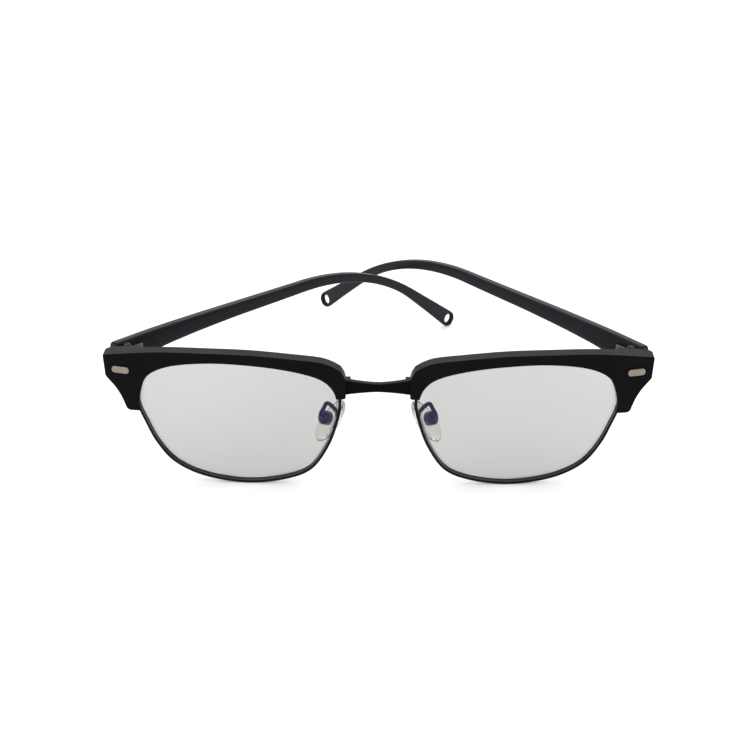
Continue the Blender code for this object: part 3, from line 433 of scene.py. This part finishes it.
def bowed(obj, slices=0):
    # Bend a flat front piece round the face
    shape = bmesh.new()
    shape.from_mesh(obj.data)
    xs = [vertex.co.x for vertex in shape.verts]
    for index in range(slices):
        x = min(xs) + (index + 1) * (max(xs) - min(xs)) / (slices + 1)
        bmesh.ops.bisect_plane(shape, geom=list(shape.verts) + list(shape.edges) + list(shape.faces),
                               plane_co=(x, 0, 0), plane_no=(1, 0, 0))
    for vertex in shape.verts:
        vertex.co.y += vertex.co.x ** 2 / (2 * lensForm["faceRadius"])
    shape.to_mesh(obj.data)
    shape.free()
    return obj


def dress(obj, material, body, node, sharp, weighted=True):
    # Material, smooth shading up to the angle of a sharp edge in degrees, body, and the CAD node it replaces
    obj.data.materials.clear()
    obj.data.materials.append(material)
    obj.data.shade_smooth()
    obj.data.set_sharp_from_angle(angle=math.radians(sharp))
    if weighted:
        step = obj.modifiers.new("normals", "WEIGHTED_NORMAL")
        step.keep_sharp = True
    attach(obj, body)
    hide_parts(node)
    return obj


def mirroredCopy(obj, name):
    mesh = obj.data.copy()
    mesh.transform(Matrix.Diagonal((-1, 1, 1, 1)))
    mesh.flip_normals()
    return addMesh(name, mesh)


def pairOnFront(obj, material, pieceName, nodeName, sharp, weighted=True):
    # The piece modelled for the wearer's left, and its mirror image, both on the front
    other = mirroredCopy(obj, pieceName + "Right")
    obj.name = pieceName + "Left"
    for piece, side in ((obj, "left"), (other, "right")):
        piece.data.transform(frontPlace)
        dress(piece, material, "front", nodeName + "_" + side, sharp, weighted)


def ringsToMesh(name, rings, closedAlong=False):
    # A skin over rings of points, closed at both ends or run round into itself
    shape = bmesh.new()
    loops = [[shape.verts.new(place) for place in ring] for ring in rings]
    pairs = list(zip(loops, loops[1:])) + ([(loops[-1], loops[0])] if closedAlong else [])
    for near, far in pairs:
        for index in range(len(near)):
            after = (index + 1) % len(near)
            shape.faces.new((near[index], near[after], far[after], far[index]))
    if not closedAlong:
        shape.faces.new(loops[0])
        shape.faces.new(loops[-1])
    return fromShape(name, shape)


# Lenses

def makeLenses():
    form = lensForm
    half, bevelWidth, pole = form["thickness"] / 2, form["bevel"], form["pole"]
    middle = Vector((middleX, middleZ))

    def ring(share, inset, y):
        return [Vector((middle.x + (place.x - middle.x) * share, y, middle.y + (place.y - middle.y) * share))
                for place in lensOutline(-inset)]

    def crown(share):
        return -form["crown"] * (1 - share * share)

    rings = [ring(pole, bevelWidth, crown(0) - half)]
    rings += [ring(share, bevelWidth, crown(share) - half) for share in reversed(form["rings"])]
    rings.append(ring(1, 0, 0))
    rings += [ring(share, bevelWidth, crown(share) + half) for share in form["rings"]]
    rings.append(ring(pole, bevelWidth, crown(0) + half))
    lens = bowed(ringsToMesh("lens", rings))

    def seenAt(place):
        return round(place.x / mm, 3), round(place.z / mm, 3)

    # The faces that touch the lens's outermost ring are its bevel, which gets the painted reflection tint
    edge = {seenAt(place) for place in ring(1, 0, 0)}
    bevel = [face.index for face in lens.data.polygons
             if any(seenAt(lens.data.vertices[corner].co) in edge for corner in face.vertices)]
    pairOnFront(lens, demoLens, "demoLens", "lens", sharp=20, weighted=False)
    for side in ("Left", "Right"):
        mesh = bpy.data.objects["demoLens" + side].data
        mesh.materials.append(bevelPaintedReflection)
        for index in bevel:
            mesh.polygons[index].material_index = 1


# Eye wires

def makeRims():
    half = rimForm["depth"] / 2
    outer = rimForm["width"] - rimForm["lip"]
    corner = rimForm["corner"]
    lip = rimForm["drawnLip"]
    groove = lensForm["thickness"] / 2 + rimForm["gap"]
    section = [(-lip, -half + corner / 2), (-lip + corner / 2, -half)]
    turns = [math.radians(90) * step / rimForm["cornerSteps"] for step in range(rimForm["cornerSteps"] + 1)]
    section += [(outer - corner + math.sin(turn) * corner, -half + corner - math.cos(turn) * corner)
                for turn in turns]
    section += [(outer - corner + math.cos(turn) * corner, half - corner + math.sin(turn) * corner)
                for turn in turns]
    section += [(-lip + corner / 2, half), (-lip, half - corner / 4), (-lip, groove), (rimForm["gap"], 0),
                (-lip, -groove)]
    rings = [[Vector((place.x, y, place.y)) for place in lensOutline(margin)] for margin, y in section]
    wire = bowed(ringsToMesh("rim", rings, closedAlong=True))
    pairOnFront(wire, lacquer, "eyeWire", "rim", sharp=40)


# Brow bars

def makeBrowBars():
    form = browForm
    noseX, templeX = middleX - halfLens, middleX + halfLens
    nasal = [Vector((noseX - a * form["nasalReach"], topZ + b * form["nasalDrop"])) for a, b in form["nasal"]]
    top = [(noseX + a * lensForm["width"], topZ + b * form["rise"]) for a, b in form["top"]]
    upperEnd, lowerEnd = [Vector((templeX + a * form["reach"], topZ + b * form["rise"]))
                          for a, b in form["end"]]
    temple = [(templeX + a * form["reach"], topZ + b * form["drop"]) for a, b in form["temple"]]
    steps = form["curveSteps"]
    outline = curveThrough(nasal[:form["nasalCurve"]], False, steps["nasal"]) + nasal[form["nasalCurve"]:]
    outline += curveThrough(top + [upperEnd], False, steps["top"])
    outline.append(lowerEnd)
    outline += curveThrough(temple, False, steps["temple"])
    outline += [Vector((templeX - form["footIn"], topZ - form["drop"])),
                Vector((noseX + form["footIn"], topZ - form["nasalDrop"]))]
    back = browBack + form["endExtra"]
    bar = softEdges(flatPlate("browBar", outline, browFront, back), form["edge"], form["edgeSteps"])
    spare, gap = form["spare"], form["gap"]
    front = -rimForm["depth"] / 2 - gap
    behind = back + spare
    blocks = topZ - form["blockDrop"]
    side = outlineAt(blocks, 1, rimForm["width"] - rimForm["lip"]) + form["blockSide"]
    step = blocks + form["blockTop"]
    start = min(templeX + form["endStart"], side)
    low, high = topZ - form["drop"] - spare, topZ + form["rise"] + spare
    inside = browNose - spare
    recess = flatPlate("recess", ((inside, low), (side, low), (side, step), (start, step), (start, high),
                                  (inside, high)), browBack, behind)
    opening = flatPlate("opening", lensOutline(-rimForm["lip"]), browFront - spare, front + spare / 2)
    rebate = flatPlate("rebate", lensOutline(rimForm["width"] - rimForm["lip"] + gap), front, behind)
    # The end piece turns round towards the temple
    radius = form["cornerRadius"]
    corner = addBlock("corner", (browEnd - radius, back - radius, low), (browEnd + spare, behind, high))
    turned = addBar("turned", (browEnd - radius, back - radius, low - spare),
                    (browEnd - radius, back - radius, high + spare), radius, form["cornerSides"])
    bar = withTools(bar, [recess, opening, rebate, withTools(corner, [turned])])
    pairOnFront(bowed(bar, form["slices"]), nylon, "browBar", "brow_bar", sharp=30)


# Rivet plates on the end pieces

rivetForm = {
    "length": 4.3 * mm, "height": 1.8 * mm, "proud": 0.35 * mm, "corner": 0.76 * mm, "cornerSteps": 8,
    "slope": 6.0, "inset": 4.3 * mm, "drop": 2.7 * mm, "edge": 0.14 * mm, "edgeSteps": 3,
    "seat": 0.05 * mm, "sunk": 0.2 * mm,
}


def makeRivetPlates():
    form = rivetForm
    corner = form["corner"]
    acrossX, acrossZ = form["length"] / 2 - corner, form["height"] / 2 - corner
    outline = []
    for quarter, (sx, sz) in enumerate(((1, 1), (-1, 1), (-1, -1), (1, -1))):
        for step in range(form["cornerSteps"] + 1):
            angle = math.radians(90) * (quarter + step / form["cornerSteps"])
            outline.append(Vector((sx * acrossX + math.cos(angle) * corner,
                                   sz * acrossZ + math.sin(angle) * corner)))
    turn = Matrix.Rotation(math.radians(form["slope"]), 2)
    middle = Vector((browEnd - form["inset"], topZ - form["drop"]))
    plate = flatPlate("rivetPlate", [middle + turn @ place for place in outline],
                      browFront - form["seat"] - form["proud"], browFront + form["sunk"])
    plate = bowed(softEdges(plate, form["edge"], form["edgeSteps"]))
    pairOnFront(plate, champagne, "rivetPlate", "rivet_plate", sharp=35)


# Bridge bar with its tabs

bridgeForm = {
    "endHeight": 4.3 * mm, "midHeight": 2.2 * mm, "depth": 1.4 * mm, "topDrop": 4.8 * mm, "arch": 1.2 * mm,
    "setback": 1.2 * mm, "tabDepth": 1.0 * mm, "tabReach": 3.2 * mm, "tabHeight": 3.0 * mm,
    # The bar's ends run on into the brow bars, whose nasal ends are round
    "run": 0.8 * mm, "shoulder": 1.0 * mm, "edge": 0.32 * mm, "edgeSteps": 4, "gap": 0.15 * mm, "slices": 12,
}


def makeBridge():
    form = bridgeForm
    end = browNose + form["run"]
    shoulderEnd = browNose - form["gap"]
    face = browFront + form["setback"]
    back = face + form["depth"]
    high = topZ - form["topDrop"]
    mid = high - form["arch"]
    low, lowMid = high - form["endHeight"], mid - form["midHeight"]
    near, lowNear = (high + 2 * mid) / 3, (low + 2 * lowMid) / 3
    top = [(-end, high), (-end / 2, near), (0, mid), (end / 2, near), (end, high)]
    bottom = [(end, low), (end / 2, lowNear), (0, lowMid), (-end / 2, lowNear), (-end, low)]
    outline = curveThrough(top, False) + curveThrough(bottom, False)
    bar = softEdges(flatPlate("bridgeBar", outline, face, back), form["edge"], form["edgeSteps"], sharp=50)
    tabFace = browBack + form["gap"]
    tabBack = tabFace + form["tabDepth"]
    tabMid = high - form["endHeight"] / 2
    tabLow, tabHigh = tabMid - form["tabHeight"] / 2, tabMid + form["tabHeight"] / 2
    tabStart, tabEnd = shoulderEnd - form["shoulder"] / 2, browNose + form["tabReach"]
    extras = []
    for side in (-1, 1):
        inner, outer = sorted((side * shoulderEnd, side * (shoulderEnd - form["shoulder"])))
        extras.append(addBlock("shoulder", (inner, (face + back) / 2, tabLow), (outer, tabBack, tabHigh)))
        inner, outer = sorted((side * tabStart, side * tabEnd))
        extras.append(addBlock("tab", (inner, tabFace, tabLow), (outer, tabBack, tabHigh)))
    bar = bowed(withTools(bar, extras, "UNION"), form["slices"])
    bar.data.transform(frontPlace)
    dress(bar, bridgeLacquer, "front", "bridge", sharp=35)


# Nose pads, their arms and boxes

padForm = {
    # Arm, with its bends as shares of the loop's reach, back and rise
    "armRadius": 0.55 * mm, "armFineness": 6, "armDrop": 16.0 * mm, "standoff": 1.2 * mm,
    "loopReach": 2.8 * mm, "loopBack": 2.6 * mm, "loopRise": 2.1 * mm,
    "bends": ((0.50, 0.70, 0.80), (1.0, 1.0, 1.0), (1.30, 1.10, 0.25)),
    "seatShare": 2.0, "seatRise": 0.75 * mm,
    # Box, with its round shoulder as shares of the radius and half the depth
    "boxRadius": 1.9 * mm, "boxDepth": 2.2 * mm, "boxWall": 0.35 * mm, "boxReach": 3.4 * mm,
    "boxBack": 4.6 * mm, "boxDrop": 3.1 * mm, "boxSides": 40, "boxPole": 0.02 * mm,
    "boxShoulder": ((0.70, 1.0), (0.88, 0.86), (0.97, 0.66), (1.0, 0.45)),
    "rimHeight": 0.1 * mm, "rimOutside": 0.08 * mm, "rimInside": 0.06 * mm,
    # Pad and its lug
    "length": 13.4 * mm, "width": 6.8 * mm, "thickness": 2.2 * mm, "taper": 0.16, "backShare": 0.31,
    "sag": 0.6 * mm, "padStandoff": 0.55 * mm, "slant": 33.0, "splay": 35.0, "meshSteps": (48, 32),
    "lugWidth": 1.1 * mm, "lugHeight": 1.5 * mm, "lugShare": 0.35, "screwRadius": 0.25 * mm,
    "gap": 0.15 * mm,
}


def padAxes():
    # Across the pad, along it, and out of its face
    slant, splay = math.radians(padForm["slant"]), math.radians(padForm["splay"])
    outFace = Vector((-math.cos(splay) * math.cos(slant), math.sin(splay),
                      -math.cos(splay) * math.sin(slant)))
    length = Vector((-math.sin(slant), 0, math.cos(slant)))
    return Matrix((length.cross(outFace).normalized(), length, outFace)).transposed().to_4x4()


def armFoot():
    height = topZ - padForm["armDrop"]
    side = outlineAt(height, -1, rimForm["width"] / 2 - rimForm["lip"])
    return Vector((side, rimForm["depth"] / 2, height))


def boxMiddle():
    foot = armFoot()
    return Vector((foot.x + padForm["boxReach"], rimForm["depth"] / 2 + padForm["boxBack"],
                   foot.z - padForm["boxDrop"]))


def bowShift():
    # The pad with its arm and box goes back as a whole with the bow at the arm's foot
    return Matrix.Translation((0, armFoot().x ** 2 / (2 * lensForm["faceRadius"]), 0))


def padPlace():
    return bowShift() @ Matrix.Translation(boxMiddle()) @ padAxes()


def makePadArms():
    form = padForm
    foot = armFoot()
    axes = padAxes()
    back = -axes.col[2].xyz
    seat = boxMiddle() + back * (form["boxDepth"] / 2) + axes.col[1].xyz * form["seatRise"]
    places = [foot, foot + Vector((0, form["standoff"], 0))]
    places += [foot + Vector((form["loopReach"] * a, form["loopBack"] * b, form["loopRise"] * c))
               for a, b, c in form["bends"]]
    places += [seat + back * form["armRadius"] * form["seatShare"], seat]
    curve = bpy.data.curves.new("padArm", "CURVE")
    curve.dimensions = "3D"
    curve.bevel_depth = form["armRadius"]
    curve.bevel_resolution = form["armFineness"]
    curve.use_fill_caps = True
    line = curveThrough(places, False)
    spline = curve.splines.new("POLY")
    spline.points.add(len(line) - 1)
    for point, place in zip(spline.points, line):
        point.co = (*place, 1)
    obj = bpy.data.objects.new("padArm", curve)
    bpy.context.scene.collection.objects.link(obj)
    obj = settled(obj)
    obj.data.transform(bowShift())
    pairOnFront(obj, violet, "padArm", "pad_arm", sharp=40, weighted=False)


def makePadBoxes():
    form = padForm
    half = form["boxDepth"] / 2
    radius, pole, sides = form["boxRadius"], form["boxPole"], form["boxSides"]
    bore, floor = radius - form["boxWall"], form["boxWall"] - half
    profile = [(pole, -half)] + [(radius * out, -half * deep) for out, deep in form["boxShoulder"]]
    rim = half - form["rimHeight"]
    profile += [(radius, rim), (radius - form["rimOutside"], half), (bore + form["rimInside"], half),
                (bore, rim), (bore, floor), (pole, floor)]
    turns = [math.tau * step / sides for step in range(sides)]
    rings = [[Vector((math.cos(turn) * reach, math.sin(turn) * reach, z)) for turn in turns]
             for reach, z in profile]
    cup = ringsToMesh("padBox", rings)
    cup.data.transform(padPlace())
    pairOnFront(cup, violet, "padBox", "pad_box", sharp=40)


def makeNosePads():
    form = padForm
    base = form["boxDepth"] / 2 + form["padStandoff"]
    shape = bmesh.new()
    around, along = form["meshSteps"]
    bmesh.ops.create_uvsphere(shape, u_segments=around, v_segments=along, radius=1)
    for vertex in shape.verts:
        x, y, z = vertex.co.x, vertex.co.z, vertex.co.y
        narrow = 1 - form["taper"] * (y + 1) / 2
        depth = z * (1 - form["backShare"]) if z > 0 else z * form["backShare"]
        vertex.co = (x * narrow * form["width"] / 2, y * form["length"] / 2 - form["sag"],
                     base + form["thickness"] * (form["backShare"] + depth))
    pad = fromShape("nosePad", shape)
    floor = form["boxWall"] - form["boxDepth"] / 2
    lug = addBlock("lug", (-form["lugWidth"] / 2, -form["lugHeight"] / 2, floor + form["gap"]),
                   (form["lugWidth"] / 2, form["lugHeight"] / 2, base + form["thickness"] * form["lugShare"]))
    bore = addBar("screwBore", (-form["boxRadius"], 0, 0), (form["boxRadius"], 0, 0),
                  form["screwRadius"] + form["gap"] / 2)
    pad = withTools(withTools(pad, [lug], "UNION"), [bore])
    pad.data.transform(padPlace())
    other = mirroredCopy(pad, "nosePadRight")
    pad.name = "nosePadLeft"
    for piece, side in ((pad, "left"), (other, "right")):
        piece.data.transform(frontPlace)
        dress(piece, silicone, "nose_pad_" + side, "nose_pad_" + side, sharp=50, weighted=False)


# Temples, modelled open about the hinge axis for the wearer's left

templeForm = {
    "length": 138.0 * mm, "rootReach": 2.4 * mm, "up": 2.6 * mm, "down": 5.0 * mm, "thickness": 3.2 * mm,
    # Sections as shares: place along the length, up, down, thickness
    "stations": (
        (-0.02, 1.0, 1.0, 1.0), (0.04, 1.08, 0.75, 1.0), (0.10, 1.07, 0.53, 1.0), (0.18, 1.0, 0.40, 0.98),
        (0.28, 0.87, 0.33, 0.93), (0.40, 0.71, 0.33, 0.85), (0.54, 0.56, 0.31, 0.77),
        (0.68, 0.50, 0.255, 0.70), (0.80, 0.60, 0.25, 0.60), (0.90, 0.80, 0.37, 0.52), (1.0, 1.0, 0.53, 0.52),
    ),
    "smoothing": 3.0 * mm, "smoothSteps": 3,
    "straight": 64.0 * mm, "bendRadius": 76.0 * mm, "bend": math.radians(37.0),
    # Exponent of the oval section: 2 is an ellipse, more is squarer. The flat top catches the light
    "squareness": 4.2, "sides": 56, "rings": 110,
    # Round tip in steps of an angle; near its end the sides close in from this share of the height
    "tipRadius": 2.7 * mm, "tipStep": math.radians(6), "tipRings": 14, "tipSlim": 0.55,
    # Soft edge of the root end: share of the section, and place as a share of the first ring's distance
    "rootEdge": ((0.90, 0.0), (0.955, 0.10), (0.985, 0.30), (0.997, 0.60)),
    "holeRadius": 1.45 * mm, "mouthOut": 0.70 * mm, "mouthDeep": 0.55 * mm,
    "leafSink": 0.45 * mm, "leafLength": 4.4 * mm, "leafHeight": 2.0 * mm, "gap": 0.15 * mm,
    "spare": 1.0 * mm,
    # Angle between each temple and the front in the photo, in degrees: 90 is fully open
    "folds": {"left": 49.5, "right": 46.6},
}


templeInner = hingeForm["knuckle"] + hingeForm["running"]
tipStart = templeForm["length"] - templeForm["tipRadius"]


def templeLine(distance):
    # Place along and up at a distance from the hinge, and how far the temple has bent down there
    form = templeForm
    if distance <= form["straight"]:
        return distance, 0.0, 0.0
    angle = min((distance - form["straight"]) / form["bendRadius"], form["bend"])
    rest = max(distance - form["straight"] - form["bendRadius"] * form["bend"], 0.0)
    return (form["straight"] + form["bendRadius"] * math.sin(angle) + rest * math.cos(angle),
            -form["bendRadius"] * (1 - math.cos(angle)) - rest * math.sin(angle), angle)


def templeSection(distance):
    share = distance / templeForm["length"]
    table = templeForm["stations"]
    for near, far in zip(table, table[1:]):
        if share <= far[0]:
            break
    t = min(max((share - near[0]) / (far[0] - near[0]), 0), 1)
    return [(near[k] + (far[k] - near[k]) * t) * size
            for k, size in ((1, templeForm["up"]), (2, templeForm["down"]), (3, templeForm["thickness"]))]


def smoothSection(distance):
    # The mean of nearby sections, so that the sides run without kinks
    form = templeForm
    steps = form["smoothSteps"]
    places = [distance + form["smoothing"] * k / steps for k in range(-steps, steps + 1)]
    samples = [templeSection(min(max(place, -form["rootReach"]), form["length"])) for place in places]
    return [sum(sizes) / len(samples) for sizes in zip(*samples)]


def squared(value):
    return math.copysign(abs(value) ** (2 / templeForm["squareness"]), value)


def cordHoleMouths(along, height):
    # Cones that open the cord hole's edges on both sides of the tip
    form = templeForm
    thick = smoothSection(tipStart)[2]
    middle = templeInner + thick / 2
    cones = []
    for side in (-1, 1):
        shape = bmesh.new()
        # The cone passes the face by as much as it goes in, and so its own mouth is wider
        bmesh.ops.create_cone(shape, cap_ends=True, segments=roundSides, radius1=form["holeRadius"],
                              radius2=form["holeRadius"] + form["mouthOut"] * 2, depth=form["mouthDeep"] * 2,
                              matrix=Matrix.Translation((middle + side * thick / 2, along, height))
                              @ Matrix.Rotation(math.radians(90) * side, 4, "Y"))
        cones.append(fromShape("mouth", shape))
    return cones


def templeRing(line, size, full, wide):
    # One section across the temple, with shares of its height and its width
    along, height, angle = line
    up, down, thick = size
    ring = []
    for step in range(templeForm["sides"]):
        turn = math.tau * (step + 0.5) / templeForm["sides"]
        x = templeInner + thick / 2 * (1 + wide * squared(math.cos(turn)))
        z = (up - down) / 2 + (up + down) / 2 * full * squared(math.sin(turn))
        ring.append(Vector((x, along + math.sin(angle) * z, height + math.cos(angle) * z)))
    return ring


def templeSkin():
    form = templeForm
    start = -form["rootReach"]
    distances = [start + (tipStart - start) * step / form["rings"] for step in range(form["rings"] + 1)]
    distances += [tipStart + form["tipRadius"] * math.sin(form["tipStep"] * step)
                  for step in range(1, form["tipRings"] + 1)]
    rings = []
    for index, distance in enumerate(distances):
        along, height, angle = templeLine(distance)
        up, down, thick = smoothSection(distance)
        full = wide = 1.0
        if index < len(form["rootEdge"]):
            full, share = form["rootEdge"][index]
            wide = full
            along = distances[0] + (distances[1] - distances[0]) * share
        if distance > tipStart:
            share = math.sqrt(max(1 - ((distance - tipStart) / form["tipRadius"]) ** 2, 0))
            up, down = up * share, down * share
            wide = form["tipSlim"] + (1 - form["tipSlim"]) * min(share / form["tipSlim"], 1)
        rings.append(templeRing((along, height, angle), (up, down, thick), full, wide))
    return ringsToMesh("temple", rings)


def makeTemples():
    form = templeForm
    along, height, _ = templeLine(tipStart)
    before = templeInner - form["spare"]
    after = templeInner + form["thickness"] + form["spare"]
    hole = addBar("cordHole", (before, along, height), (after, along, height), form["holeRadius"], roundSides)
    half = form["leafHeight"] / 2 + form["gap"]
    pocket = addBlock("pocket", (before, templeInner - form["gap"], -half),
                      (templeInner + form["leafSink"], templeInner + form["leafLength"] + form["gap"], half))
    temple = withTools(templeSkin(), [hole, pocket] + cordHoleMouths(along, height))
    for side, sign in (("left", 1), ("right", -1)):
        joint = joints["temple_" + side + "_fold"]
        axisZ = Vector(joint["axis"]).normalized()
        axisX = (Vector((1, 0, 0)) - axisZ * axisZ.x).normalized()
        basis = Matrix((axisX, axisZ.cross(axisX), axisZ)).transposed().to_4x4()
        swing = Matrix.Rotation(sign * math.radians(90 - form["folds"][side]), 4, "Z")
        name = "temple" + side.capitalize()
        piece = addMesh(name, temple.data.copy()) if sign > 0 else mirroredCopy(temple, name)
        piece.data.transform(Matrix.Translation(joint["pos_m"]) @ basis @ swing)
        dress(piece, templeNylon, "temple_" + side, "temple_" + side, sharp=40)
    bpy.data.objects.remove(temple, do_unlink=True)


makeLenses()
makeRims()
print("made the lenses and eye wires")
makeBrowBars()
makeRivetPlates()
makeBridge()
print("made the brow bars, rivet plates and bridge")
makePadArms()
makePadBoxes()
makeNosePads()
print("made the nose pads with their arms and boxes")
makeTemples()
print("made the temples")


# Small pieces that keep their CAD shape. Of each hinge only the leaf in the temple looks like grey metal

smallPieces = {
    "brow_screw": lacquer, "lock_block_upper": lacquer, "lock_block_lower": lacquer, "hinge_front": lacquer,
    "hinge_screw": lacquer, "hinge_temple": nickelSilver, "lock_screw": nickelSilver,
    "pad_screw": nickelSilver, "core_wire": nickelSilver,
}
for kind, material in smallPieces.items():
    for side in ("left", "right"):
        node = frame["nodes"][kind + "_" + side]
        node.data.materials.clear()
        node.data.materials.append(material)
print("gave the small pieces their finishes")


# Floor, light and camera

stageForm = {
    "floorSize": 12.0, "floorColour": "fbfbfb", "floorGlow": 0.2,
    "worldColour": "ffffff", "worldStrength": 0.95,
    # The smooth eye wires reach a hair below the CAD's facets
    "floorDrop": 0.02 * mm,
}


def makeStage():
    shape = bmesh.new()
    bmesh.ops.create_grid(shape, x_segments=1, y_segments=1, size=stageForm["floorSize"] / 2)
    floor = fromShape("paleFloor", shape)
    floor.location.z = -stageForm["floorDrop"]
    # White acrylic of a light table: it glows a little, so the frame's shadow stays faint
    material, tree, shader = newMaterial("paleLightTable", {
        "Roughness": 0.9, "Specular IOR Level": 0.1, "Base Color": hexColour(stageForm["floorColour"]),
        "Emission Color": hexColour(stageForm["floorColour"]), "Emission Strength": stageForm["floorGlow"]})
    floor.data.materials.append(material)
    world = bpy.data.worlds.new("studio")
    world.use_nodes = True
    back = world.node_tree.nodes["Background"]
    back.inputs["Color"].default_value = hexColour(stageForm["worldColour"])
    back.inputs["Strength"].default_value = stageForm["worldStrength"]
    bpy.context.scene.world = world
    # Plain sRGB response, as the photo's, so that white paper reads white beside the black frame
    bpy.context.scene.view_settings.view_transform = "Standard"


lights = {
    # place and aim, width and height, all in metres, and watts
    "topSoftbox": ((0.0, 0.25, 1.25), (0, 0, 0), 1.4, 1.0, 2.0),
    "backSoftbox": ((0.0, 1.15, 0.62), (0, 0, 0.02), 1.8, 0.7, 5.0),
    "leftStrip": ((-0.9, -0.1, 0.55), (0, 0, 0.02), 0.25, 0.9, 1.0),
}


def makeLights():
    for name, (place, aim, width, height, power) in lights.items():
        data = bpy.data.lights.new(name, "AREA")
        data.shape = "RECTANGLE"
        data.size = width
        data.size_y = height
        data.energy = power
        lamp = bpy.data.objects.new(name, data)
        lamp.location = place
        lamp.rotation_euler = (Vector(aim) - Vector(place)).to_track_quat("-Z", "Y").to_euler()
        bpy.context.scene.collection.objects.link(lamp)


cameraForm = {
    # Fitted to the corners and edges of the front and to the temples' tips
    "place": (3.99 * mm, -388.57 * mm, 194.97 * mm), "down": 25.96, "turn": 0.81, "roll": -0.058,
    "focal": 71.08, "sensor": 36.0, "near": 0.01, "far": 30.0,
}


def makeCamera():
    data = bpy.data.cameras.new("camera")
    data.sensor_width = cameraForm["sensor"]
    data.lens = cameraForm["focal"]
    data.clip_start = cameraForm["near"]
    data.clip_end = cameraForm["far"]
    camera = bpy.data.objects.new("camera", data)
    down, turn, roll = (math.radians(cameraForm[key]) for key in ("down", "turn", "roll"))
    camera.matrix_world = (Matrix.Translation(cameraForm["place"]) @ Matrix.Rotation(turn, 4, "Z")
                           @ Matrix.Rotation(math.radians(90) - down, 4, "X") @ Matrix.Rotation(roll, 4, "Z"))
    bpy.context.scene.collection.objects.link(camera)
    bpy.context.scene.camera = camera


makeStage()
makeLights()
makeCamera()
print("set the floor, lights and camera")
